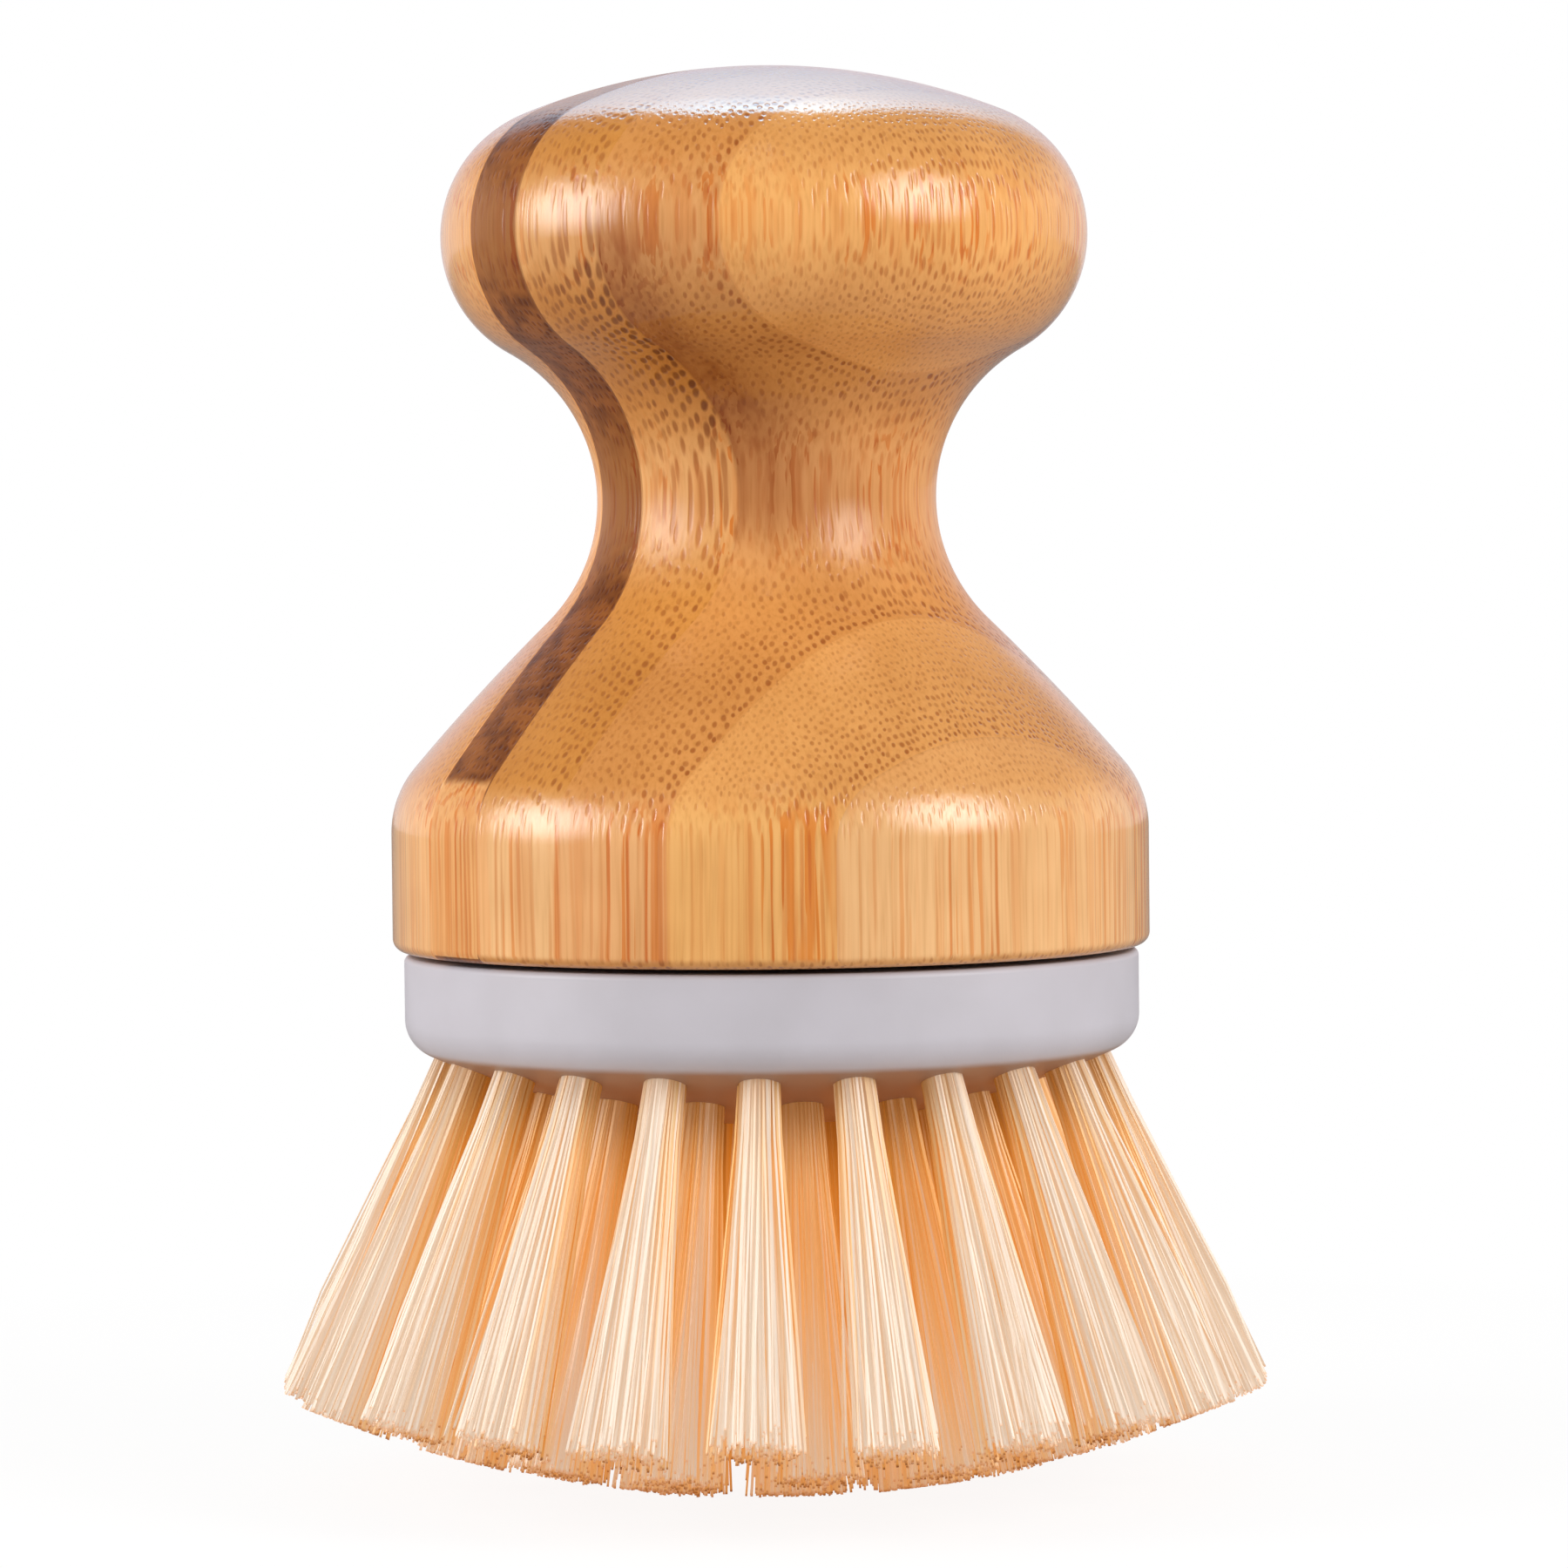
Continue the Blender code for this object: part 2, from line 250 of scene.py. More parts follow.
def circled(radius, angle):
    """The x and y of a point at this radius and angle."""
    return radius * calc("COSINE", angle), radius * calc("SINE", angle)


# %% [markdown]
# ## Running a shape tree
#
# A Geometry Nodes tree normally stays live on its object. Here each one is run once and its result kept as a
# plain mesh, because a plain mesh can ride on a moving body and be handed on to any other program.


# %% Run a shape tree once
def new_shape_tree(name, counts, numbers):
    """A tree that takes a mesh, named whole numbers, other numbers and a finish, and gives one geometry."""
    tree = bpy.data.node_groups.new(name, "GeometryNodeTree")
    inputs = {"Geometry": "Geometry"} | dict.fromkeys(counts, "Int") | dict.fromkeys(numbers, "Float")
    for title, kind in (inputs | {"Finish": "Material"}).items():
        tree.interface.new_socket(title, in_out="INPUT", socket_type=f"NodeSocket{kind}")
    tree.interface.new_socket("Geometry", in_out="OUTPUT", socket_type="NodeSocketGeometry")
    return tree, results(tree.nodes.new("NodeGroupInput"))


def end_tree(tree, geometry, given):
    """Every tree ends the same way: real geometry, smooth faces and its finish."""
    real = add(tree, "GeometryNodeRealizeInstances", {0: geometry})
    smooth = add(tree, "GeometryNodeSetShadeSmooth", {"Geometry": real})
    finished = add(tree, "GeometryNodeSetMaterial", {"Geometry": smooth, "Material": given["Finish"]})
    add(tree, "NodeGroupOutput", {0: finished})


def made_by(helper):
    """The plain mesh that a helper's modifiers make. The helper goes."""
    graph = bpy.context.evaluated_depsgraph_get()
    mesh = bpy.data.meshes.new_from_object(helper.evaluated_get(graph))
    bpy.data.objects.remove(helper)
    return mesh


def run_tree(tree, values, start=None):
    """The plain mesh that a tree makes from a starting mesh and its named values."""
    helper = shown("helper", start or bpy.data.meshes.new("nothing"))
    modifier = helper.modifiers.new(tree.name, "NODES")
    modifier.node_group = tree
    for item in tree.interface.items_tree:
        if item.in_out == "INPUT" and item.name in values:
            modifier[item.identifier] = values[item.name]
    return made_by(helper)


# %% Meshes and pieces
SHARP_CORNER = math.radians(35)


def mesh_from(shape, name):
    """A mesh from a bmesh, which is then let go."""
    made = bpy.data.meshes.new(name)
    shape.to_mesh(made)
    shape.free()
    return made


def tidy(mesh):
    """Turns the faces of a closed mesh outwards and keeps its corners sharp."""
    shape = bmesh.new()
    shape.from_mesh(mesh)
    bmesh.ops.recalc_face_normals(shape, faces=shape.faces)
    open_edges = sum(not edge.is_manifold for edge in shape.edges)
    shape.to_mesh(mesh)
    shape.free()
    mesh.set_sharp_from_angle(angle=SHARP_CORNER)
    return open_edges


def put(name, mesh, body, nodes):
    """Makes a finished piece that rides on a body and stands for its CAD nodes."""
    piece = shown(name, mesh)
    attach(piece, body)
    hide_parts(*nodes)
    triangles = sum(len(face.vertices) - 2 for face in mesh.polygons)
    print(name, "on", body, "has", triangles, "triangles")


# %% [markdown]
# ## The tree that turns
#
# The handle, the block, the insert and the bolt are all turned: one outline swept round an axis. A lathe
# tree makes them all from a chain of points. It lays a flat grid, and rolls it up: each row of the grid
# takes its radius and height from one point of the outline. A screw thread is the same trick with one term
# more, because a thread is only a radius that depends on the height minus the turn.


# %% Lathe tree
GROOVE_SLOPE, GROOVE_CREST = 2.6, 0.15  # how steep the thread's sides are, and how wide its crest
WITHIN = 0.01 * MM  # how close to the thread's radius a point has to lie to be cut
WELD = 0.002 * MM


def lathe_tree():
    thread = ("Thread radius", "Thread depth", "Thread pitch", "Thread from", "Thread to")
    tree, given = new_shape_tree("Lathe", ["Steps"], thread)
    points = result(tree, "GeometryNodeAttributeDomainSize", {0: given["Geometry"]}, output="Point Count")
    columns = given["Steps"] + 1
    grid = add(tree, "GeometryNodeMeshGrid", {"Vertices X": columns, "Vertices Y": points})

    index = result(tree, "GeometryNodeInputIndex")
    column = calc("FLOOR", (index + 0.5) / points)
    row = index - column * points
    share = column / given["Steps"]
    angle = share * (2 * math.pi)
    outline = {"Geometry": given["Geometry"], "Value": add(tree, "GeometryNodeInputPosition"), "Index": row}
    sample = add(tree, "GeometryNodeSampleIndex", outline, data_type="FLOAT_VECTOR")
    radius, _, height = apart(sample)

    # the groove, faded in and out over one pitch
    winds = height / given["Thread pitch"] - share
    wave = calc("PINGPONG", winds, 0.5) * GROOVE_SLOPE
    groove = calc("SUBTRACT", wave, GROOVE_CREST, use_clamp=True)
    climbed = height - given["Thread from"]
    left = given["Thread to"] - height
    starting = calc("DIVIDE", climbed, given["Thread pitch"], use_clamp=True)
    ending = calc("DIVIDE", left, given["Thread pitch"], use_clamp=True)
    depth = given["Thread depth"] * (starting * ending)
    grooved = given["Thread radius"] - groove * depth
    wanted = calc("MINIMUM", radius, grooved) - radius
    threaded = calc("LESS_THAN", radius, given["Thread radius"] + WITHIN)
    cut = radius + threaded * wanted

    place = joined(*circled(cut, angle), height)
    rolled = add(tree, "GeometryNodeSetPosition", {"Geometry": grid, "Position": place})
    closed = add(tree, "GeometryNodeMergeByDistance", {"Geometry": rolled, "Distance": WELD})
    end_tree(tree, closed, given)
    return tree


LATHE = lathe_tree()

# %% Turn an outline
WIDE_STEPS, SLIM_STEPS = 180, 60  # of the lathe, for a wide piece and for a slim one
NO_THREAD = (-1.0, 0.0, 0.0, 0.0)
CHORD_SAG = 0.002 * MM  # how far the line between two points may lie inside its arc


def turn(outline, finish, steps=SLIM_STEPS, thread=NO_THREAD):
    """A closed mesh from (radius, height) points. A thread is its radius, depth and two heights."""
    start = bpy.data.meshes.new("outline")
    start.from_pydata([(r, 0.0, z) for r, z in outline], [], [])
    thread_radius, depth, low, high = thread
    values = {"Steps": steps, "Thread radius": thread_radius, "Thread depth": depth}
    values |= {"Thread pitch": THREAD_PITCH, "Thread from": low, "Thread to": high, "Finish": finish}
    mesh = run_tree(LATHE, values, start)
    print("turned", len(mesh.polygons), "faces, open edges:", tidy(mesh))
    return mesh


def arc(centre, radius, start, end):
    """Points (r, z) along an arc, close enough together to look round."""
    step = 2 * math.acos(1 - CHORD_SAG / radius)
    count = max(3, math.ceil(abs(end - start) / step))
    angles = [start + (end - start) * i / count for i in range(count + 1)]
    return [(centre[0] + radius * math.cos(a), centre[1] + radius * math.sin(a)) for a in angles]


# %% [markdown]
# ## The bamboo
#
# The knob is turned from laminated bamboo: strips about nine millimetres thick, glued side by side and
# standing upright. Bamboo has no rings. It has bundles of dark fibre that run along the culm, fine and
# crowded near its skin. Cut across, on the flank and under the knob, the bundles show as dots, and cut
# along, on the upright wall, the same bundles show as streaks.
#
# So the pattern is made in the solid, in object coordinates: dots in the plane across the grain, drawn out
# along z and wandering a little. Wherever the surface cuts that solid, dots and streaks come by themselves.
# Each strip has its own two colours, and its dots are larger and darker towards its skin side. The coat
# of lacquer is thinner in the waist, where hands have worn it. Painted light makes the waist and the
# right of the knob paler.

# %% The strips, from the back left to the front right
PER_MM = (1 / MM,) * 3  # scales metres to millimetres
GRAIN_TURN = math.radians(50)  # turns the strips' glue planes square to the pattern's x axis
STRIP_REACH = 35.0  # mm from the axis to either end of the strips' scale
# Each strip: first edge in mm, colour along the grain, colour across it, dots to the mm, how dark they are
STRIPS = (
    (-35.0, (0.82, 0.44, 0.165), (0.72, 0.31, 0.075), 1.55, 0.55),
    (-24.4, (0.77, 0.39, 0.135), (0.66, 0.27, 0.060), 1.45, 0.75),
    (-15.6, (0.81, 0.43, 0.165), (0.72, 0.31, 0.075), 1.70, 0.50),
    (-5.7, (0.73, 0.36, 0.125), (0.25, 0.078, 0.012), 1.60, 0.90),
    (0.92, (0.81, 0.455, 0.190), (0.59, 0.240, 0.045), 1.35, 0.95),
    (9.0, (0.77, 0.388, 0.148), (0.62, 0.260, 0.064), 1.45, 1.00),
    (17.4, (0.81, 0.418, 0.130), (0.69, 0.314, 0.086), 1.80, 1.00),
    (26.2, (0.83, 0.468, 0.198), (0.71, 0.335, 0.105), 1.80, 0.95),
)
DARK_STRIP = (STRIPS[3][0], STRIPS[4][0])  # this one stays dark along its grain as well
# On the crown, every strip's end grain comes half way to this one's colour
SKIN_STRIP = STRIPS[5]
# Painted light on the knob starts at this strip
KNOB_LIGHT_FROM = STRIPS[6][0]  # the knob is paler from here on

# Marks across the strips: mm from the axis, and how dark the mark is there
STAIN = ((8.75, 0), (8.9, 1), (9.25, 1), (9.5, 0.78), (10.8, 0.88), (12.4, 0.50), (14.5, 0.12), (17, 0))
DARK_ROW = ((1.3, 0), (2.0, 0.65), (7.0, 0.75), (8.2, 1), (8.95, 1), (9.0, 0))  # heavy dots
STREAK_ROWS = (  # crowded streaks on the wall, from one mark to the next
    ((0.3, 0.7), (1.5, 0.7)),
    ((9.0, 0.8), (10.5, 0.5)),
    ((14.7, 0.9), (15.0, 0.9)),
    ((16.1, 0.9), (17.35, 0.9)),
    ((24.1, 1.0), (25.9, 0.9)),
)
ROW_EDGE = 0.25  # mm over which such a row fades

# Zones of the handle: heights in mm where each fades in and where it fades out
ZONES = {"neck": (73, 79, 97, 104), "waist": (64, 72, 82, 90), "knob": (84, 92, 100, 107)}
# Heights in mm between which a mark changes
WALL_END, OVER_WALL, FLANK_FOOT, UNDER_KNOB = (54, 60), (56, 68), (58, 62), (80, 91)
# Fibres: noise to the mm across the grain and along it, and its detail
FINE, BROAD, LINES = (3.4, 0.09, 3.0), (0.95, 0.025, 1.0), (2.3, 0.025, 1.0)
GROUPS, ROWS = (0.24, 0.012, 0.0), (1.5, 0.012, 1.0)

# Colours of the marks, each multiplied with the bamboo's own colour
DOTS_ALONG, DOTS_ACROSS = (0.80, 0.52, 0.28), (0.53, 0.345, 0.215)
HEAVY_ROW, HEAVY_DOTS = (0.80, 0.70, 0.58), (0.32, 0.24, 0.20)
STREAK_TINT, SEAM_TINT, STAIN_TINT = (0.86, 0.50, 0.18), (0.45, 0.32, 0.22), (0.38, 0.20, 0.08)
# Painted light: tints that make the right of the knob and the waist paler
KNOB_LIGHT_TINT, WAIST_LIGHT_TINT = (1.10, 1.085, 1.09), (1.08, 1.09, 1.12)
FINE_TONES = ((0.30, (0.84, 0.76, 0.64)), (0.50, (1.00, 1.00, 1.00)), (0.72, (1.06, 1.10, 1.16)))
MOTTLE_TONES = ((0.36, (0.66, 0.58, 0.50)), (0.62, (1.20, 1.20, 1.20)))
CLOUD_TONES = ((0.30, (0.93, 0.90, 0.86)), (0.70, (1.06, 1.08, 1.12)))


# %% Finish helpers
def new_finish(name):
    """A material with its tree, its Principled shader and its coordinates."""
    made = bpy.data.materials.new(name)
    made.use_nodes = True
    tree = made.node_tree
    return made, tree, tree.nodes["Principled BSDF"], results(add(tree, "ShaderNodeTexCoord"))


def ramp(value, stops, interpolation="LINEAR"):
    """A colour ramp from (position, colour) stops."""
    node = add(tree_of(value), "ShaderNodeValToRGB", {0: value})
    strip = node.color_ramp
    strip.interpolation = interpolation
    while len(strip.elements) < len(stops):
        strip.elements.new(1.0)
    for element, (position, colour) in zip(strip.elements, stops):
        element.position = position
        element.color = (*colour, 1.0)
    return results(node)["Color"]


def mixed(factor, first, second, blend="MIX"):
    """One colour laid over another."""
    sockets = {"Factor": factor, "A": first, "B": second}
    tree = tree_of(factor, first, second)
    return result(tree, "ShaderNodeMix", sockets, data_type="RGBA", blend_type=blend)


def tinted(amount, colour, tint):
    """A colour multiplied by a tint, as far as the amount says."""
    return mixed(amount, colour, tint, "MULTIPLY")


def stretched(vector, *scales, **sockets):
    """Coordinates scaled by three factors, so that what is drawn in them is stretched."""
    return result(tree_of(vector), "ShaderNodeMapping", {"Vector": vector, "Scale": scales} | sockets)


def noise(vector, scale, detail=2.0, output=None):
    sockets = {"Vector": vector, "Scale": scale, "Detail": detail}
    return result(tree_of(vector), "ShaderNodeTexNoise", sockets, output)


def fibres(vector, across, along, detail):
    """Noise that is drawn out along the grain."""
    return noise(stretched(vector, across, across, along), 1.0, detail)


def bump(height, strength, depth):
    """A relief, from its height as a value and its depth in metres."""
    sockets = {"Height": height, "Strength": strength, "Distance": depth}
    return result(tree_of(height), "ShaderNodeBump", sockets)


def band(value, low, high, to_low=0.0, to_high=1.0):
    """A smooth step from one value to another."""
    sockets = {"Value": value, "From Min": low, "From Max": high, "To Min": to_low, "To Max": to_high}
    return result(tree_of(value), "ShaderNodeMapRange", sockets, interpolation_type="SMOOTHSTEP")


def channels(colour):
    """The three channels of a colour."""
    return results(add(tree_of(colour), "ShaderNodeSeparateColor", {0: colour})).values()


# %% Ramps over the strips
def ramp_place(mm):
    """Where a distance from the axis lies on a ramp over all the strips."""
    return (mm + STRIP_REACH) / (2 * STRIP_REACH)


def strip_stops(column):
    """Stops of a ramp over the strips, for one column of the table."""
    return [(ramp_place(row[0]), column(row)) for row in STRIPS]


def across_stops():
    """Stops of a ramp that runs from 0 to 1 across each strip, towards its skin side."""
    edges = [position for position, _ in strip_stops(lambda row: None)] + [1.0]
    stops = []
    for low, high in zip(edges, edges[1:]):
        stops += [(low + 0.0004, (0.0,) * 3), (high - 0.0004, (1.0,) * 3)]
    return stops


def mark_stops(marks):
    """Stops of a grey ramp from (mm, darkness) marks."""
    return [(ramp_place(mm), (dark,) * 3) for mm, dark in marks]


def row_stops():
    """Stops of a ramp that is dark along each row of streaks."""
    stops = []
    for (low, dark), (high, darker) in STREAK_ROWS:
        stops += mark_stops(((low - ROW_EDGE, 0.0), (low, dark), (high, darker), (high + ROW_EDGE, 0.0)))
    return stops


def zone(height, name):
    """1 inside one of the handle's zones and 0 outside it."""
    low, full, fading, high = ZONES[name]
    return band(height, low, full) * band(height, fading, high, 1.0, 0.0)


# %% The bundles across the grain
DOT_EDGE = (0.55, 1.35)  # shares of a dot's radius between which it fades
CROWN_TOP = (0.86, 0.95)  # how level the crown is where its dots grow faint
SHIFT = 17  # how far one strip's pattern may be shifted against another's
PACKED = 4  # a ramp's colours end at 1, so the strips' densities are divided by this


def bundle_dots(fibre, strip, skin, dark_row, facing_up):
    """Dots in the plane across the grain, crowded and dark towards the skin side of a strip."""
    x, y, _ = apart(fibre)
    density, strength, shift = strip
    spread = density * PACKED
    flat = {"Vector": joined(x * spread + shift * SHIFT, y * spread, 0.0), "Scale": 1.0, "Randomness": 0.5}
    cells = results(add(tree_of(fibre), "ShaderNodeTexVoronoi", flat, voronoi_dimensions="2D"))
    one_chance, other_chance, _ = channels(cells["Color"])
    size = 0.18 + (one_chance * 0.08 + skin * 0.08 + dark_row * 0.09)
    dot = band(cells["Distance"] / size, *DOT_EDGE, 1.0, 0.0)
    crowding = 0.42 + skin * 0.58
    uneven = 0.55 + other_chance * 0.45
    return dot * strength * crowding * uneven * band(facing_up, *CROWN_TOP, 1.0, 0.45)


# %% The bundles along the grain
def bundle_streaks(in_mm, fibre, skin, place, height):
    """Streaks in groups, and on the wall those in the rows of the table."""
    broad = band(fibres(fibre, *BROAD), 0.5, 0.72, 0.0, 0.34)
    lines = band(fibres(fibre, *LINES), 0.55, 0.61)
    groups = band(fibres(in_mm, *GROUPS), 0.44, 0.58, 0.12, 1.0)
    crowded = groups * (0.45 + skin * 0.9)
    streaks = calc("MAXIMUM", broad, calc("MULTIPLY", lines, crowded, use_clamp=True))
    row_lines = band(fibres(fibre, *ROWS), 0.42, 0.58)
    rows = ramp(place, row_stops()) * band(height, *WALL_END, 1.0, 0.0)
    return calc("MAXIMUM", streaks, rows * row_lines)


# %% Bamboo finish
def bamboo_finish():
    made, _, shader, coords = new_finish("lacquered_bamboo")
    in_mm = stretched(coords["Object"], *PER_MM, Rotation=(0, 0, GRAIN_TURN))
    straight, sideways, height = apart(in_mm)

    # the bundles wander a little on their way up
    slow = stretched(in_mm, 0.16, 0.16, 0.03)
    drift = summed(noise(slow, 1.0, output="Color"), (-0.5, -0.5, -0.5))
    fibre = summed(in_mm, scaled(drift, 1.5))

    # which strip a point is in, and how far across it
    _, _, facing_up = apart(coords["Normal"])
    wavy = straight + (noise(slow, 0.7) - 0.5) * 0.3
    place = ramp_place(wavy)
    long_colour = ramp(place, strip_stops(lambda row: row[1]), "CONSTANT")
    end_colour = ramp(place, strip_stops(lambda row: row[2]), "CONSTANT")
    pattern = ramp(place, strip_stops(lambda row: (row[3] / PACKED, row[4], row[0] * 0.37 % 1)), "CONSTANT")
    past_start, past_end = (calc("GREATER_THAN", place, ramp_place(mm)) for mm in DARK_STRIP)
    in_dark_strip = past_start - past_end
    stays_dark = (0.45 + in_dark_strip * 0.4) * band(height, *OVER_WALL)
    long_colour = mixed(stays_dark, long_colour, end_colour)
    on_crown = band(facing_up, 0.8, 0.93)
    end_colour = mixed(on_crown * 0.5, end_colour, SKIN_STRIP[2])
    in_neck = zone(height, "neck")
    dark_row = ramp(place, mark_stops(DARK_ROW)) * in_neck * band(height, *UNDER_KNOB, 0.6, 1.0)
    across = ramp(place, across_stops())
    # painted light, from this strip on, in the knob's zone
    painted_light_on_knob = zone(height, "knob") * calc("GREATER_THAN", place, ramp_place(KNOB_LIGHT_FROM))

    # how much the surface cuts across the grain
    low_and_dark = in_dark_strip * band(height, *FLANK_FOOT, 1.0, 0.0)
    end_grain = band(calc("ABSOLUTE", facing_up), 0.12 + low_and_dark * 0.4, 0.62)

    # the bundles as dots and as streaks, and masks for the layers below
    skin = across ** 1.5
    dots = bundle_dots(fibre, channels(pattern), skin, dark_row, facing_up)
    streaks = bundle_streaks(in_mm, fibre, skin, place, height)
    fine = fibres(fibre, *FINE)
    off_crown = calc("SUBTRACT", end_grain, on_crown * 0.75, use_clamp=True)
    # the waist: its lacquer is worn thinner, and painted light makes its colour paler
    worn_and_lit_waist = zone(height, "waist")
    blotched = band(streaks, -1.2, 0.6) * band(sideways, -3.0, 5.0, 1.0, 0.0)

    # all of them laid over the strips' colours, each as far as its amount says
    colour = mixed(end_grain, long_colour, end_colour)
    for amount, tint in (
        (dark_row * 0.6, HEAVY_ROW),
        (dots, mixed(end_grain, DOTS_ALONG, DOTS_ACROSS)),
        (dots * dark_row, HEAVY_DOTS),
        (streaks * (0.95 - end_grain * 0.87), STREAK_TINT),
        (0.6, ramp(fine, FINE_TONES)),
        (in_dark_strip * off_crown, ramp(noise(fibre, 0.55), MOTTLE_TONES)),
        (1.0, ramp(noise(in_mm, 0.12), CLOUD_TONES)),
        # painted light, paler on the right of the knob and in the waist
        (painted_light_on_knob, KNOB_LIGHT_TINT),
        (worn_and_lit_waist * (1.0 - in_dark_strip), WAIST_LIGHT_TINT),
        # a dark stain along one glue plane, from the flank's top to the knob's underside
        (ramp(place, mark_stops(STAIN)) * blotched * in_neck, STAIN_TINT),
        # the dark glue line where two strips meet
        (band(across, 0.0, 0.025, 1.0, 0.0) * 0.2, SEAM_TINT),
    ):
        colour = tinted(amount, colour, tint)

    # the lacquer sinks a little over each bundle
    sunk = bump(dots * -1.0 + fine * 0.5, 0.7, 0.06 * MM)
    fill(shader, {"Base Color": colour, "Roughness": band(dots, 0.0, 1.0, 0.42, 0.62), "Normal": sunk})
    worn = band(worn_and_lit_waist, 0.0, 1.0, 1.0, 0.46) * band(in_dark_strip, 0.0, 1.0, 1.0, 0.45)
    fill(shader, {"Coat Weight": worn, "Coat Roughness": 0.09, "Coat Normal": sunk})
    fill(shader, {"Specular IOR Level": 0.12})
    return made


BAMBOO = bamboo_finish()
print("bamboo has", len(BAMBOO.node_tree.nodes), "nodes")

# %% [markdown]
# ## The handle
#
# Its outline is a chain of arcs, each running smoothly into the next: a flat crown, a full rim, a hollow
# waist for the fingers, a nearly straight flank and a rounded shoulder above a short upright wall. Below is
# the socket for the insert. The radii are the turner's marks from above, and only the arcs are finer here
# than in the solid, so that its gloss runs round it without facets.


# %% Turn the handle
def handle_outline():
    wall_top = SEAT + BASE_WALL
    shoulder = (BASE_RADIUS - SHOULDER_ARC, wall_top)
    run = FLANK_ARC - SHOULDER_ARC
    flank = (shoulder[0] - run * math.cos(FLANK_START), wall_top - run * math.sin(FLANK_START))
    waist_r = NECK_RADIUS + WAIST_ARC
    flank_end = math.acos((waist_r - flank[0]) / (FLANK_ARC + WAIST_ARC))
    neck = flank[1] + (FLANK_ARC + WAIST_ARC) * math.sin(flank_end)
    knob_r = KNOB_RADIUS - KNOB_ARC
    meeting = math.acos((waist_r - knob_r) / (WAIST_ARC + KNOB_ARC))
    knob = (knob_r, neck + (WAIST_ARC + KNOB_ARC) * math.sin(meeting))
    rise = KNOB_ARC + CROWN_RISE
    crown_radius = (rise**2 + knob_r**2 - KNOB_ARC**2) / (2 * CROWN_RISE)
    crown = (0.0, knob[1] + rise - crown_radius)
    rim_start = math.atan2(knob[1] - crown[1], knob_r)
    socket_end = SEAT + INSERT_LENGTH + FIT
    return [
        *arc(crown, crown_radius, math.pi / 2, rim_start)[:-1],
        *arc(knob, KNOB_ARC, rim_start, -meeting)[:-1],
        *arc((waist_r, neck), WAIST_ARC, math.pi - meeting, math.pi + flank_end)[:-1],
        *arc(flank, FLANK_ARC, flank_end, FLANK_START)[:-1],
        *arc(shoulder, SHOULDER_ARC, FLANK_START, 0.0),
        *arc((BASE_RADIUS - BASE_EDGE, SEAT + BASE_EDGE), BASE_EDGE, 0.0, -math.pi / 2),
        (FLANGE_RADIUS + FIT, SEAT),
        (FLANGE_RADIUS + FIT, SEAT + FLANGE_THICKNESS + FIT),
        (INSERT_RADIUS + FIT, SEAT + FLANGE_THICKNESS + FIT),
        (INSERT_RADIUS + FIT, socket_end),
        (0.0, socket_end),
    ]


put("turned_handle", turn(handle_outline(), BAMBOO, WIDE_STEPS), "handle", ["handle"])

# %% [markdown]
# ## Plastic, steel and brass
#
# The block is a moulded plastic, pale grey with a breath of lilac, and matt because the mould was
# spark-eroded: thousands of shallow pits that a fine bump can stand for. The bolt is zinc-plated steel and
# the insert is brass. Both show the marks of the tool that turned them.


# %% Plastic and metal finishes
PLASTIC_TONES = ((0.3, (0.515, 0.49, 0.525)), (0.7, (0.545, 0.52, 0.56)))
# Painted shade and warm bounce light for the block's underside, between the tufts
UNDER_SHADE = (0.7, 0.44, 0.28)  # the warm light that the tufts throw up between them


def plastic_finish():
    made, _, shader, coords = new_finish("lilac_grey_plastic")
    in_mm = stretched(coords["Object"], *PER_MM)
    clouds = noise(in_mm, 0.16, 3.0)
    colour = ramp(clouds, PLASTIC_TONES)
    _, _, facing_up = apart(coords["Normal"])
    # painted shade and warm bounce light, where the underside faces down between the tufts
    shade_between_tufts = band(facing_up * -1, 0.7, 0.92)
    colour = tinted(shade_between_tufts, colour, UNDER_SHADE)
    pits = bump(noise(in_mm, 6.0), 0.25, 0.02 * MM)
    fill(shader, {"Base Color": colour, "Roughness": band(clouds, 0.3, 0.7, 0.42, 0.5), "Normal": pits})
    return made


def metal_finish(name, colour, dull, roughness):
    """Turned metal: fine rings round the axis, and a faint mottle of handling."""
    made, _, shader, coords = new_finish(name)
    in_mm = stretched(coords["Object"], *PER_MM)
    mottle = noise(in_mm, 0.9, 3.0)
    marks = bump(fibres(in_mm, 0.3, 24, 2.0), 0.2, 0.01 * MM)
    fill(shader, {"Base Color": ramp(mottle, [(0.35, dull), (0.65, colour)]), "Metallic": 1.0})
    fill(shader, {"Roughness": band(mottle, 0.3, 0.7, roughness, roughness + 0.12), "Normal": marks})
    return made


PLASTIC = plastic_finish()
STEEL = metal_finish("plated_steel", (0.66, 0.66, 0.67), (0.52, 0.52, 0.53), 0.24)
BRASS = metal_finish("turned_brass", (0.80, 0.58, 0.27), (0.62, 0.42, 0.17), 0.24)

# %% [markdown]
# ## The bolt and the insert
#
# The handle unscrews from the head, so the thread is real. The bolt's groove and the insert's ridge
# come from the same lathe tree with the same pitch and the same starting turn, so that they mesh at every
# angle. The insert is glued into the bamboo, and its visible piece turns with the handle.


# %% Turn the bolt
THREAD_STEP = THREAD_PITCH / 10  # between the points of an outline that a thread is cut into
THREAD_CLEARANCE = 0.10 * MM


def fine_line(start, end, spacing):
    """Points (r, z) along a straight line, close enough for a thread."""
    count = max(1, math.ceil(math.dist(start, end) / spacing))
    return [tuple(a + (b - a) * i / count for a, b in zip(start, end)) for i in range(count + 1)]


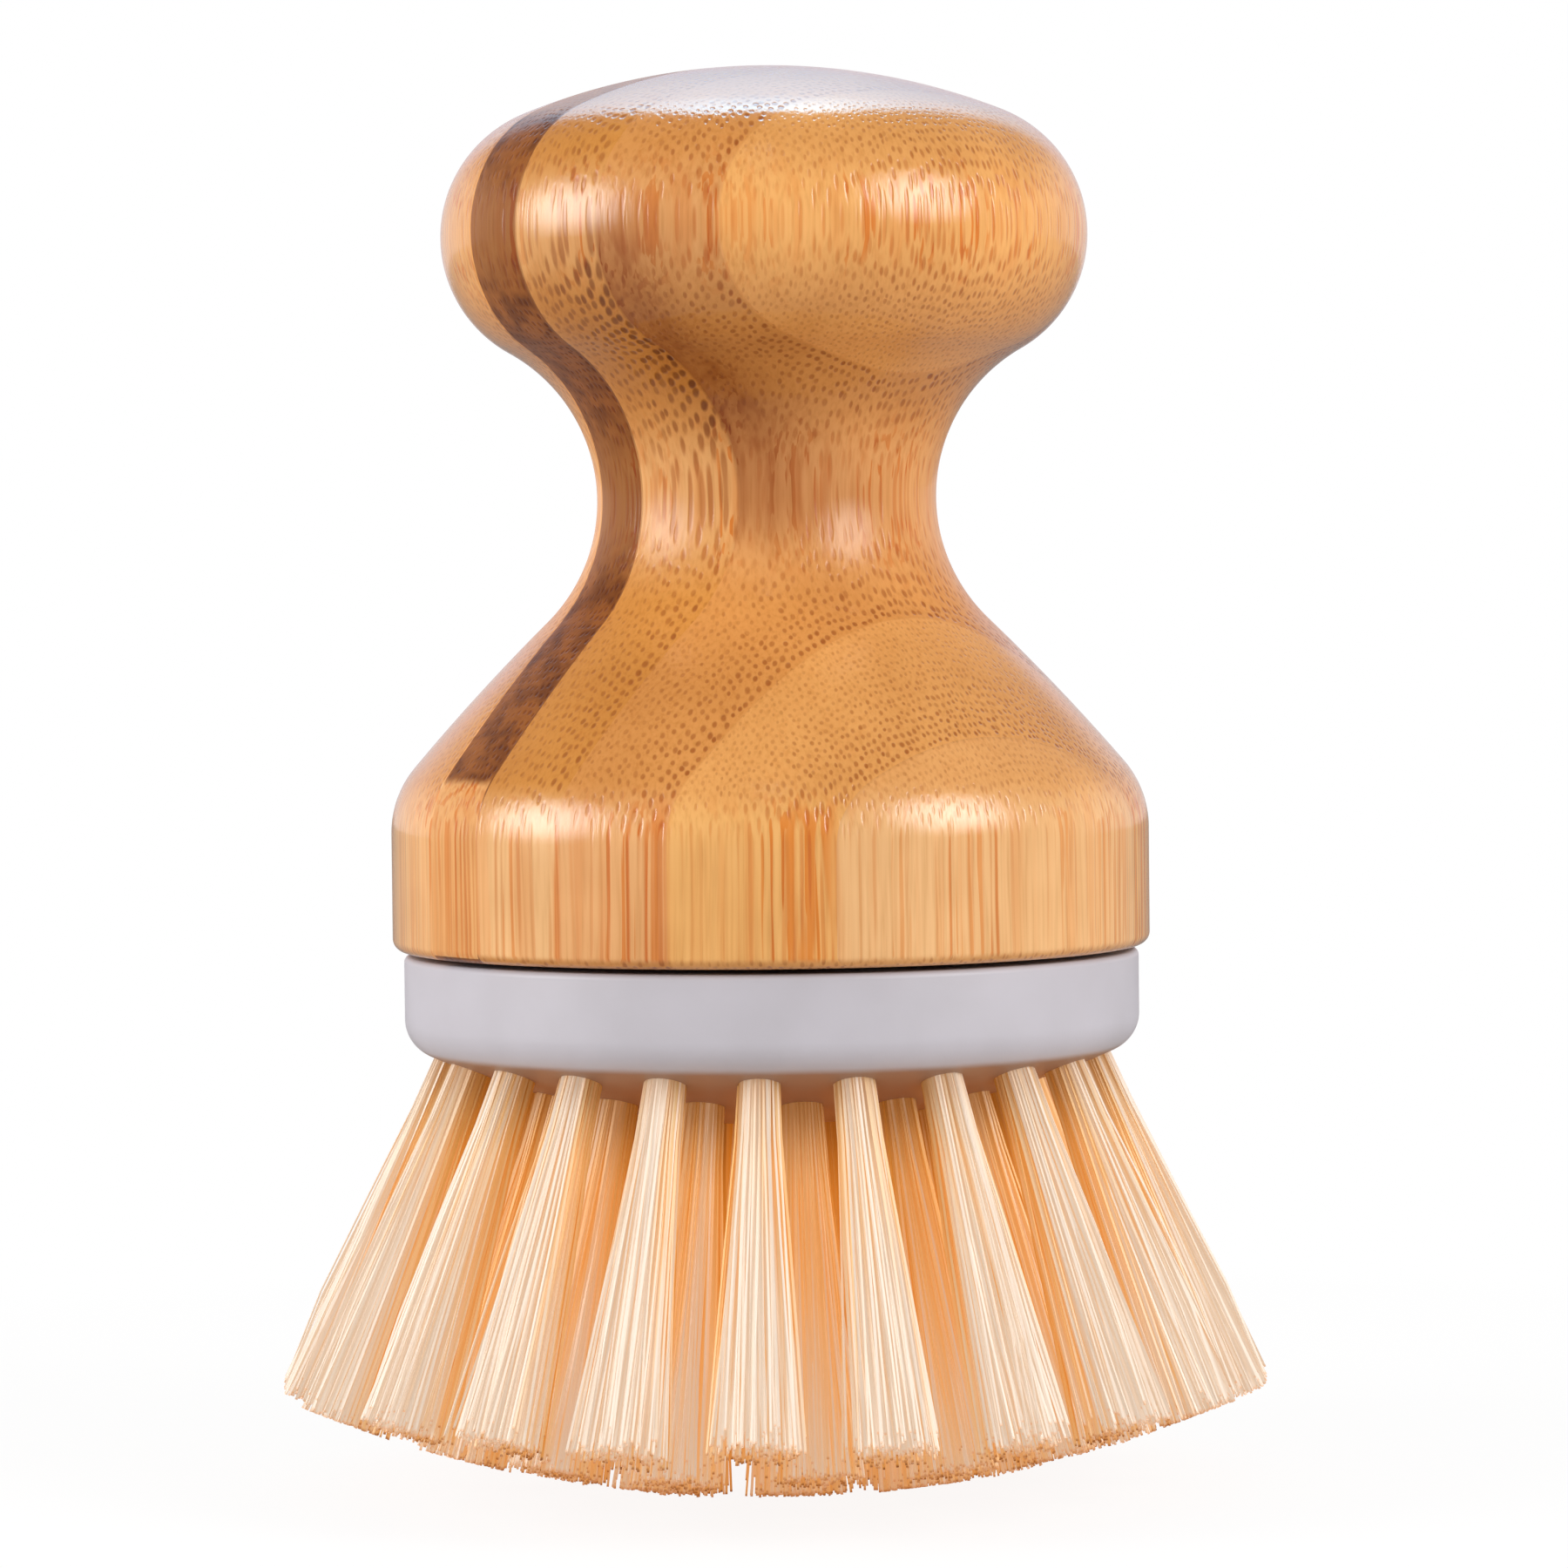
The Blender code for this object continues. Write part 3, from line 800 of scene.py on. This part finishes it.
def bolt_shank():
    tip = BLOCK_TOP + BOLT_PROJECTION
    low = BLOCK_TOP - THREAD_PITCH
    side = fine_line((BOLT_RADIUS, tip - BOLT_CHAMFER), (BOLT_RADIUS, low), THREAD_STEP)
    outline = [(0.0, tip), (BOLT_RADIUS - BOLT_CHAMFER, tip), *side]
    outline += [(BOLT_RADIUS, BOLT_START), (0.0, BOLT_START)]
    return turn(outline, STEEL, thread=(BOLT_RADIUS, THREAD_DEPTH, low, tip + THREAD_PITCH))


def cylinder(radius, top, low, finish, steps=SLIM_STEPS):
    return turn([(0.0, top), (radius, top), (radius, low), (0.0, low)], finish, steps)


def hexagon(finish, room=0.0):
    """Six steps of the lathe make the bolt's head, or the room for it."""
    corner = (BOLT_HEAD_FLATS / 2 + room) / math.cos(math.pi / 6)
    return cylinder(corner, BOLT_HEAD_TOP + room, BOLT_HEAD_LOW - room, finish, 6)


# %% Turn the insert
def insert_tube():
    """The bore's ridge follows the bolt's groove at a small clearance."""
    bore = BOLT_RADIUS + THREAD_CLEARANCE
    top, flange_top = SEAT + INSERT_LENGTH, SEAT + FLANGE_THICKNESS
    bottom = SEAT + INSERT_CHAMFER
    outline = [*fine_line((bore, top), (bore, bottom), THREAD_STEP), (bore + INSERT_CHAMFER, SEAT)]
    outline += [(FLANGE_RADIUS, SEAT), (FLANGE_RADIUS, flange_top), (INSERT_RADIUS, flange_top)]
    spacing = (top - flange_top) / (GLUE_GROOVES + 1)
    for i in range(GLUE_GROOVES):
        middle = flange_top + spacing * (i + 1)
        for rise, cut in ((-GLUE_GROOVE, 0.0), (0.0, GLUE_GROOVE), (GLUE_GROOVE, 0.0)):
            outline.append((INSERT_RADIUS - cut, middle + rise))
    outline += [(INSERT_RADIUS, top), (bore, top)]
    return turn(outline, BRASS, thread=(bore, THREAD_DEPTH, bottom - THREAD_PITCH, top + THREAD_PITCH))


def merged(first, second):
    """Two meshes as one."""
    shape = bmesh.new()
    shape.from_mesh(first)
    shape.from_mesh(second)
    shape.to_mesh(first)
    shape.free()
    return first


put("threaded_bolt", merged(bolt_shank(), hexagon(STEEL)), "head", ["head_bolt"])
put("brass_insert", insert_tube(), "handle", ["threaded_insert"])

# %% [markdown]
# ## The tree that goes round a ring
#
# The block is drilled in four rings, every hole square to its domed underside. One tree repeats any
# small shape round a ring, tipped outwards by the dome's slope. It sets out the drills first, and then
# the little wire anchors that hold each folded tuft in its hole.


# %% Ring tree
def ring_place(ring):
    """The values that place a ring: its holes, radius, lean, mouth height and first angle."""
    _, count, start = RINGS[ring]
    radius = INNER_RING + (OUTER_RING - INNER_RING) * ring / (len(RINGS) - 1)
    lean = math.asin(radius / DOME_RADIUS)
    values = {"Holes": count, "Ring radius": radius, "Lean": lean}
    values["Mouth height"] = DOME_CENTRE - DOME_RADIUS * math.cos(lean)
    values["First angle"] = math.radians(start) - math.pi / 2
    return values


PLACES = ("Ring radius", "Lean", "Mouth height", "First angle")


def angle_of(given, number):
    """The angle of a hole round the brush's axis, from its number."""
    step = 2 * math.pi / given["Holes"]
    return given["First angle"] + number * step


def ring_tree():
    tree, given = new_shape_tree("Round the ring", ["Holes"], PLACES)
    angle = angle_of(given, result(tree, "GeometryNodeInputIndex"))
    mouth = joined(*circled(given["Ring radius"], angle), given["Mouth height"])
    mouths = add(tree, "GeometryNodePoints", {"Count": given["Holes"], "Position": mouth})
    tip = joined(0.0, given["Lean"] * -1, angle)
    turned = add(tree, "FunctionNodeEulerToRotation", {0: tip})
    repeated = {"Points": mouths, "Instance": given["Geometry"], "Rotation": turned}
    copies = add(tree, "GeometryNodeInstanceOnPoints", repeated)
    end_tree(tree, copies, given)
    return tree


ROUND_THE_RING = ring_tree()


def all_rings(shape, finish):
    """One mesh with a copy of a shape at every hole of the block."""
    whole = bpy.data.meshes.new("rings")
    for ring in range(len(RINGS)):
        whole = merged(whole, run_tree(ROUND_THE_RING, ring_place(ring) | {"Finish": finish}, shape))
    whole.materials.append(finish)
    return whole


# %% [markdown]
# ## The block
#
# It is one moulding: a flat top with a small edge, a short upright side, a rounded lower edge and a domed
# underside. The bolt's head sits inside it. After it is turned, the bolt's room and the fifty-five holes
# are cut out with a Boolean, which is how the mould's own pins leave them.


# %% Turn and drill the block
SHANK_ROOM = 0.05 * MM
OVERSHOOT = 1.0 * MM  # how far a cutter runs past what it cuts


def block_outline():
    dome_start = math.atan2(EDGE_CENTRE - DOME_CENTRE, EDGE_RUN)
    top_edge = (BLOCK_RADIUS - BLOCK_TOP_EDGE, BLOCK_TOP - BLOCK_TOP_EDGE)
    return [
        *fine_line((0.0, BLOCK_TOP), (top_edge[0], BLOCK_TOP), 2.0 * MM)[:-1],
        *arc(top_edge, BLOCK_TOP_EDGE, math.pi / 2, 0.0),
        *arc((EDGE_RUN, EDGE_CENTRE), BLOCK_EDGE, 0.0, dome_start)[:-1],
        *arc((0.0, DOME_CENTRE), DOME_RADIUS, dome_start, -math.pi / 2),
    ]


def cut(mesh, tool):
    """A mesh with the tool's shape taken out."""
    helper, cutter = shown("helper", mesh), shown("cutter", tool)
    boolean = helper.modifiers.new("cut", "BOOLEAN")
    boolean.operation = "DIFFERENCE"
    boolean.solver = "EXACT"
    boolean.object = cutter
    left = made_by(helper)
    bpy.data.objects.remove(cutter)
    return left


def drill():
    """A drill as long as a hole, standing on the hole's mouth."""
    shape = bmesh.new()
    low, high = -OVERSHOOT, HOLE_DEPTH
    middle = Matrix.Translation((0.0, 0.0, (low + high) / 2))
    sizes = {"segments": 24, "radius1": HOLE_RADIUS, "radius2": HOLE_RADIUS, "depth": high - low}
    bmesh.ops.create_cone(shape, cap_ends=True, matrix=middle, **sizes)
    return mesh_from(shape, "drill")


block_mesh = turn(block_outline(), PLASTIC, WIDE_STEPS)
shank_room = cylinder(BOLT_RADIUS + SHANK_ROOM, BLOCK_TOP + OVERSHOOT, BOLT_START, PLASTIC)
for room in (hexagon(PLASTIC, FIT), shank_room):
    block_mesh = cut(block_mesh, room)
block_mesh = cut(block_mesh, all_rings(drill(), PLASTIC))
print("block drilled, open edges:", tidy(block_mesh))
put("moulded_block", block_mesh, "head", ["brush_block"])


# %% [markdown]
# ## The filaments
#
# Each tuft is a bundle of straight, springy filaments, folded over its wire anchor and packed tight at the
# hole's mouth. From there they fan out, a little unevenly, and were all cut to one length with a knife.
#
# A tree grows one ring at a time. It scatters the filaments over each hole in a sunflower
# spiral, which packs a round hole evenly, gives each a curve of five points, and then bends that curve:
# tight in the hole, fanning below it, with chance in its lean, length and thickness. The last steps tip
# the tuft along the dome's slope, move it to its hole and sweep a three-sided tube along it. Each tube is
# rolled by chance, so that the flat sides catch the light like round ones.

# %% Sizes of the filaments
FILAMENTS = 230  # to a tuft
CURVE_POINTS = 5
GOLDEN_ANGLE = math.pi * (3 - math.sqrt(5))
SPIRAL_TURN = 1.7  # by which each tuft's spiral is turned against the last one's
ANCHOR = Vector((0.45, 2.0, 1.0)) * MM  # the flat wire's thickness, width and height
ANCHOR_EDGE = 0.12 * MM
ROOT_DEPTH = HOLE_DEPTH - FIT - ANCHOR.z
STRAY = 0.70 * MM  # how far a tip strays from its place
BOW = 0.26 * MM  # how far a filament's middle bows out
UNEVEN, UNEVEN_TUFTS = 0.055, 0.022  # shares of the length that the knife took off by chance
MEASURES = {
    "Filament radius": 0.11 * MM,
    "Bundle radius": 1.45 * MM,
    "Fan radius": 3.5 * MM,
    "Length": TUFT_LENGTH,
    "Root depth": ROOT_DEPTH,
    "Widest": 39.5 * MM,
}


# %% Values that the filaments carry
def kind_of(name):
    """Three of the values that a filament carries are vectors."""
    return "FLOAT_VECTOR" if name in ("seat", "stray", "bow") else "FLOAT"


def remember(geometry, name, value):
    """Writes a value on each point, under a name that later nodes and the finish can read."""
    sockets = {"Geometry": geometry, "Name": name, "Value": value}
    return add(tree_of(geometry), "GeometryNodeStoreNamedAttribute", sockets, data_type=kind_of(name))


def recall(tree, name):
    return result(tree, "GeometryNodeInputNamedAttribute", {"Name": name}, data_type=kind_of(name))


def chance(given, low, high, which, item=None):
    """A random value for each filament, or for each item counted another way, the same on every run."""
    tree = tree_of(given["Seed"])
    item = item or result(tree, "GeometryNodeInputIndex")
    sockets = {"Min": low, "Max": high, "ID": item, "Seed": given["Seed"] + which}
    kind = "FLOAT_VECTOR" if isinstance(low, tuple) else "FLOAT"
    return result(tree, "FunctionNodeRandomValue", sockets, data_type=kind)


# %% Scatter the filaments
def scatter_roots(tree, given):
    """One point for each filament. It carries its tuft's turn, its seat in the bundle and its chances."""
    index = result(tree, "GeometryNodeInputIndex")
    points = add(tree, "GeometryNodePoints", {"Count": given["Holes"] * given["Filaments"]})
    tuft = calc("FLOOR", (index + 0.5) / given["Filaments"])
    member = index - tuft * given["Filaments"]
    out = calc("SQRT", (member + 0.5) / given["Filaments"])
    spiral = member * GOLDEN_ANGLE + tuft * SPIRAL_TURN
    seat_x, seat_y = circled(out, spiral)
    strand_place = joined(seat_x + tuft * 7.3, seat_y, 0.0)
    strand = band(noise(strand_place, 2.4, 1.0), 0.34, 0.66, 0.0, 0.7)
    carried = {
        "turn": angle_of(given, tuft),
        "seat": joined(seat_x, seat_y, 0.0),
        "stray": chance(given, (-1, -1, 0), (1, 1, 0), 1),
        "bow": chance(given, (-1, -1, 0), (1, 1, 0), 2),
        # painted light: how much light this filament is given, by its ring and its side of the tuft
        "light": given["Light at the middle"] + seat_x * given["Light across"],
        "tone": strand + chance(given, 0.0, 1.0, 3) * 0.3,
        "short": chance(given, 0.0, 1.0, 4),
        "tuft_short": chance(given, 0.0, 1.0, 6, tuft),
        "stout": chance(given, 0.85, 1.15, 5),
    }
    for name, value in carried.items():
        points = remember(points, name, value)
    return points


# %% Tuft tree
def rotated(vector, angle, axis):
    sockets = {"Vector": vector, "Angle": angle}
    return result(tree_of(vector), "ShaderNodeVectorRotate", sockets, rotation_type=axis)


def tuft_tree():
    numbers = (*PLACES, *MEASURES, "Light at the middle", "Light across")
    tree, given = new_shape_tree("Ring of tufts", ["Holes", "Filaments", "Seed"], numbers)
    roots = scatter_roots(tree, given)
    straight = add(tree, "GeometryNodeCurvePrimitiveLine", {"Start": (0, 0, 0), "End": (0, 0, -1)})
    line = add(tree, "GeometryNodeResampleCurve", {"Curve": straight, "Count": CURVE_POINTS})
    copies = add(tree, "GeometryNodeInstanceOnPoints", {"Points": roots, "Instance": line})
    curves = add(tree, "GeometryNodeRealizeInstances", {0: copies})
    along = result(tree, "GeometryNodeSplineParameter", output="Factor")
    curves = remember(curves, "along", along)

    # where this point of the filament lies, in its own tuft
    cut_off = recall(tree, "short") ** 3.0 * UNEVEN + recall(tree, "tuft_short") * UNEVEN_TUFTS
    length = given["Length"] * (1.0 - cut_off)
    depth = given["Root depth"] - along * (length + given["Root depth"])
    below = calc("DIVIDE", depth * -1.0, given["Length"], use_clamp=True)
    fan = given["Fan radius"] - given["Bundle radius"]
    wide = given["Bundle radius"] + fan * below
    sideways = scaled(recall(tree, "seat"), wide)
    strayed = scaled(recall(tree, "stray"), below ** 1.4 * STRAY)
    arched = calc("SINE", below * math.pi) * BOW
    bowed = scaled(recall(tree, "bow"), arched)
    in_tuft = summed(summed(sideways, strayed), summed(bowed, joined(0.0, 0.0, depth)))

    # the tuft leans out, moves to its ring and goes round to its hole
    leaned = rotated(in_tuft, given["Lean"] * -1, "Y_AXIS")
    out = summed(leaned, joined(given["Ring radius"], 0.0, given["Mouth height"]))
    x, y, z = apart(rotated(out, recall(tree, "turn"), "Z_AXIS"))
    pull = calc("MINIMUM", given["Widest"] / reach(joined(x, y, 0.0)), 1.0)
    pulled = joined(x * pull, y * pull, z)
    bent = add(tree, "GeometryNodeSetPosition", {"Geometry": curves, "Position": pulled})

    taper = recall(tree, "stout") * given["Filament radius"]
    sized = add(tree, "GeometryNodeSetCurveRadius", {"Curve": bent, "Radius": taper})
    ring = add(tree, "GeometryNodeCurvePrimitiveCircle", {"Resolution": 3, "Radius": 1.0})
    radius = result(tree, "GeometryNodeInputRadius")
    roll = recall(tree, "short") * (2 * math.pi)
    rolled = add(tree, "GeometryNodeSetCurveTilt", {"Curve": sized, "Tilt": roll})
    tubes = {"Curve": rolled, "Profile Curve": ring, "Scale": radius, "Fill Caps": True}
    filaments = add(tree, "GeometryNodeCurveToMesh", tubes)

    # what would go under the bench is cut flat on it
    x, y, z = apart(add(tree, "GeometryNodeInputPosition"))
    on_bench = joined(x, y, calc("MAXIMUM", z, 0.0))
    trimmed = add(tree, "GeometryNodeSetPosition", {"Geometry": filaments, "Position": on_bench})
    end_tree(tree, trimmed, given)
    return tree


RING_OF_TUFTS = tuft_tree()


# %% [markdown]
# ## The finish of the filaments
#
# They are cream, and each differs a little from the next. Deep in the brush the light has bounced from
# filament to filament, and every bounce takes out more blue, so the gaps glow orange. A painted warm glow,
# and a colour painted from orange to cream, stand for that light: a ring deep in the brush gets the orange
# end of both and the outer ring the cream end, and the outer side of each tuft and the fanned lower part
# get more painted light. Strands of neighbouring filaments share a tone. The cut ends are darker, partly
# their own colour and partly painted shade, and the first stretch under the block has painted shade.
# The finish knows both by the "along" value that each filament carries.


# %% Filament finish
# Painted light and shade, as colour and as glow: from the orange depths of the brush to its cream outside
FILAMENT_COLOURS = ((0.0, (0.63, 0.38, 0.13)), (0.5, (0.70, 0.50, 0.28)), (1.0, (0.64, 0.55, 0.465)))
FILAMENT_GLOW = ((0.0, (0.24, 0.092, 0.010)), (0.5, (0.285, 0.145, 0.048)), (1.0, (0.27, 0.210, 0.155)))
# The cut ends: darker, partly their own colour and partly painted shade, deepest where the painted light is
# low
CUT_TINTS = ((0.1, (0.36, 0.22, 0.13)), (0.9, (1.0, 0.78, 0.62)))  # for the cut ends
# Painted shade on the stretch under the block
ROOT_SHADE = (0.84, 0.74, 0.66)  # for the stretch under the block


def filament_finish():
    made, tree, shader, coords = new_finish("cream_filament")
    carried = [add(tree, "ShaderNodeAttribute", attribute_name=name) for name in ("tone", "along", "light")]
    tone, along, light = (results(node)["Fac"] for node in carried)
    # painted light rising towards the tips, where the fan opens, added to the painted light of ring and side
    # and to each strand's tone
    painted_light_below = band(along, 0.15, 1.0, -0.08, 0.42)
    painted_light_and_tone = light + painted_light_below + (tone - 0.5) * 0.7
    colour = ramp(painted_light_and_tone, FILAMENT_COLOURS)
    glow = ramp(painted_light_and_tone, FILAMENT_GLOW)
    end = band(along, 0.992, 0.999)
    cut_tint = ramp(painted_light_and_tone, CUT_TINTS)
    colour = tinted(end, colour, cut_tint)
    # painted shade near the block: a weaker glow and a darker colour
    shade_near_block = band(along, 0.12, 0.34, 0.44, 1.06)
    colour = tinted(band(along, 0.12, 0.22, 1.0, 0.0), colour, ROOT_SHADE)
    strength = calc("MAXIMUM", shade_near_block, calc("MINIMUM", painted_light_and_tone, 1.0))
    # the glow is painted light
    fill(shader, {"Emission Color": tinted(end, glow, cut_tint), "Emission Strength": strength})
    grain = bump(noise(coords["Object"], 2500.0), 0.15, 0.02 * MM)
    fill(shader, {"Base Color": colour, "Roughness": band(tone, 0.0, 1.0, 0.5, 0.38), "Normal": grain})
    return made


CREAM = filament_finish()

# %% [markdown]
# ## Growing the four rings
#
# The rings are grown one by one, so that no piece gets too heavy, and each stands for the plain tufts of its
# ring.

# %% Grow the filaments
# Painted light: how much the middle of a ring's tufts is given, and how much more their outer side
RING_LIGHT = {"inner": (0.16, 0.12), "third": (0.18, 0.15), "second": (0.22, 0.30), "outer": (0.46, 0.60)}
for number, (ring_name, tufts, _) in enumerate(RINGS):
    grown = ring_place(number) | MEASURES
    grown |= {"Filaments": FILAMENTS, "Seed": 10 * number + 3, "Finish": CREAM}
    grown["Light at the middle"], grown["Light across"] = RING_LIGHT[ring_name]
    bristles = run_tree(RING_OF_TUFTS, grown)
    bristles.set_sharp_from_angle(angle=math.radians(80))
    stands_for = [f"tuft_{ring_name}_{k:02d}" for k in range(1, tufts + 1)]
    put(f"filaments_{ring_name}", bristles, "head", stands_for)

# %% [markdown]
# ## The wire anchors
#
# A flat piece of wire is driven across each hole over the tuft's fold. It is out of sight in the finished
# brush, but it is what holds every tuft.


# %% Anchors
def anchor_shape():
    """A short flat wire with its edges rounded, above the fold."""
    shape = bmesh.new()
    bmesh.ops.create_cube(shape, size=1.0)
    bmesh.ops.scale(shape, vec=ANCHOR, verts=shape.verts)
    bmesh.ops.translate(shape, vec=Vector((0.0, 0.0, ROOT_DEPTH + ANCHOR.z / 2)), verts=shape.verts)
    bmesh.ops.bevel(shape, geom=shape.edges[:], offset=ANCHOR_EDGE, segments=2, affect="EDGES")
    return mesh_from(shape, "anchor")


anchors = all_rings(anchor_shape(), STEEL)
print("anchors, open edges:", tidy(anchors))
put("wire_anchors", anchors, "head", [])

# %% [markdown]
# ## The studio
#
# The brush stands on a white sweep between two large soft lamps, one on each side and a little above,
# which is why its upright sides are pale and its middle is darker. A bright panel behind and over the
# brush lies in the world. Only polish shows it, and it whitens the crown.
# The floor and the world show plain white to the camera and in reflections, while the light that falls on
# the brush stays at a plain level.

# %% Floor
FLOOR_RADIUS = 3.0
SHADOW_REACH = 0.16
SHADOW_STRENGTH = 0.10
FLOOR_DROP = 0.2 * MM  # below the tips, so that the floor and they don't share a plane
FLOOR_BOUNCE, FLOOR_WHITE = 0.52, 0.97  # how pale it is to the light it throws back, and to the camera
WHITE = (1.0, 1.0, 1.0)


def floor_finish():
    """Pale and matt near the brush, where it takes the shadow, and plain white further out."""
    made, tree, shader, coords = new_finish("white_sweep")
    far = band(reach(coords["Object"]), 0.05, SHADOW_REACH)
    path = results(add(tree, "ShaderNodeLightPath"))
    direct = calc("MAXIMUM", path["Is Glossy Ray"], path["Is Transmission Ray"])
    seen = calc("MAXIMUM", path["Is Camera Ray"], direct)
    plain = seen * calc("MAXIMUM", far, 1 - SHADOW_STRENGTH)
    pale = mixed(path["Is Camera Ray"], (FLOOR_BOUNCE,) * 3, (FLOOR_WHITE,) * 3)
    fill(shader, {"Base Color": pale, "Roughness": 0.9, "Specular IOR Level": 0.0})
    strength = 1.0 - path["Is Glossy Ray"] * 0.7
    white = add(tree, "ShaderNodeEmission", {"Color": WHITE, "Strength": strength})
    sweep = add(tree, "ShaderNodeMixShader", {0: plain, 1: shader, 2: white})
    backwards = result(tree, "ShaderNodeNewGeometry", output="Backfacing")
    from_below = backwards * path["Is Camera Ray"]
    clear = add(tree, "ShaderNodeBsdfTransparent")
    both = add(tree, "ShaderNodeMixShader", {0: from_below, 1: sweep, 2: clear})
    fill(tree.nodes["Material Output"], {"Surface": both})
    return made


floor_shape = bmesh.new()
bmesh.ops.create_circle(floor_shape, cap_ends=True, segments=64, radius=FLOOR_RADIUS)
floor_mesh = mesh_from(floor_shape, "floor")
floor_mesh.materials.append(floor_finish())
floor = shown("floor", floor_mesh)
floor.location.z = -FLOOR_DROP

# %% World
FILL = 0.60
ROOM = ((0.00, 0.72), (0.26, 0.74), (0.42, 0.26), (1.00, 0.12))  # sine of the elevation, what polish mirrors
SKY_PANEL = (  # sine of the elevation, colour and strength of the panel that hangs behind and over the brush
    (0.00, (0.040, 0.040, 0.040)),
    (0.21, (0.034, 0.040, 0.048)),
    (0.42, (0.042, 0.061, 0.080)),
    (0.64, (0.068, 0.114, 0.154)),
    (0.82, (0.125, 0.262, 0.36)),
    (0.90, (0.20, 0.46, 0.63)),
    (0.930, (0.25, 0.60, 0.83)),
    (0.936, (0.00, 0.00, 0.00)),
)
PANEL_STRENGTH = 16.6
PANEL_EDGE = (0.32, 0.6)  # how far off straight behind it fades, as sideways over behind


def light_world():
    """White to the camera, a soft even fill on everything, and a bright panel that only polish shows."""
    world = bpy.data.worlds.new("studio")
    bpy.context.scene.world = world
    world.use_nodes = True
    tree = world.node_tree
    path = results(add(tree, "ShaderNodeLightPath"))
    x, y, z = apart(result(tree, "ShaderNodeTexCoord", output="Generated"))
    sideways = calc("ABSOLUTE", x) / calc("MAXIMUM", y, 0.01)
    behind = band(sideways, *PANEL_EDGE, 1.0, 0.0)
    panel = ramp(z, SKY_PANEL)
    panel = tinted(1.0, panel, joined(behind, behind, behind))
    panel = tinted(1.0, panel, (PANEL_STRENGTH,) * 3)
    tones = [(sine, (white, 0.95 * white, white)) for sine, white in ROOM]
    room = ramp(calc("ABSOLUTE", z), tones)
    from_sides = band(y, 0.1, 0.75, 0.28, 1.0)
    room = tinted(1.0, room, joined(from_sides, from_sides, from_sides))
    mirrored = mixed(1.0, panel, room, "LIGHTEN")
    direct = calc("MAXIMUM", path["Is Camera Ray"], path["Is Transmission Ray"])
    colour = mixed(path["Is Glossy Ray"], (FILL,) * 3, mirrored)
    colour = mixed(direct, colour, WHITE)
    fill(tree.nodes["Background"], {"Color": colour})


light_world()

# %% Lamps
# Each lamp: name, azimuth and elevation in degrees, width in metres, power in watts
LAMPS = (("left_softbox", -72, 18, 0.54, 3.95), ("right_softbox", 58, 23, 0.48, 3.65))
LAMP_HEIGHT, LAMP_DISTANCE = 0.44, 0.60
LAMP_AIM = Vector((0, 0, 0.06))
LAMP_COLOUR = (1.0, 0.985, 0.985)
LAMP_FADE = (0.05, 0.6, 1.7, 0.0)  # where it starts to fade and where it is out, and how bright it is at each


def soft_lamp(name, azimuth, elevation, width, power):
    """A softbox that looks at the brush and fades at its edges. Azimuth 0 is the camera's side."""
    a, e = math.radians(azimuth), math.radians(elevation)
    away = Vector((math.sin(a) * math.cos(e), -math.cos(a) * math.cos(e), math.sin(e)))
    lamp = shown(name, bpy.data.lights.new(name, "AREA"))
    lamp.data.shape = "RECTANGLE"
    lamp.data.size = width
    lamp.data.size_y = LAMP_HEIGHT
    lamp.data.energy = power
    lamp.data.color = LAMP_COLOUR
    lamp.data.use_nodes = True
    tree = lamp.data.node_tree
    across = result(tree, "ShaderNodeNewGeometry", output="Parametric")
    off_middle = reach(summed(across, (-0.5, -0.5, 0.0)))
    fill(tree.nodes["Emission"], {"Strength": band(off_middle, *LAMP_FADE)})
    lamp.location = LAMP_AIM + away * LAMP_DISTANCE
    lamp.rotation_euler = away.to_track_quat("Z", "Y").to_euler()
    lamp.visible_camera = False


for softbox in LAMPS:
    soft_lamp(*softbox)
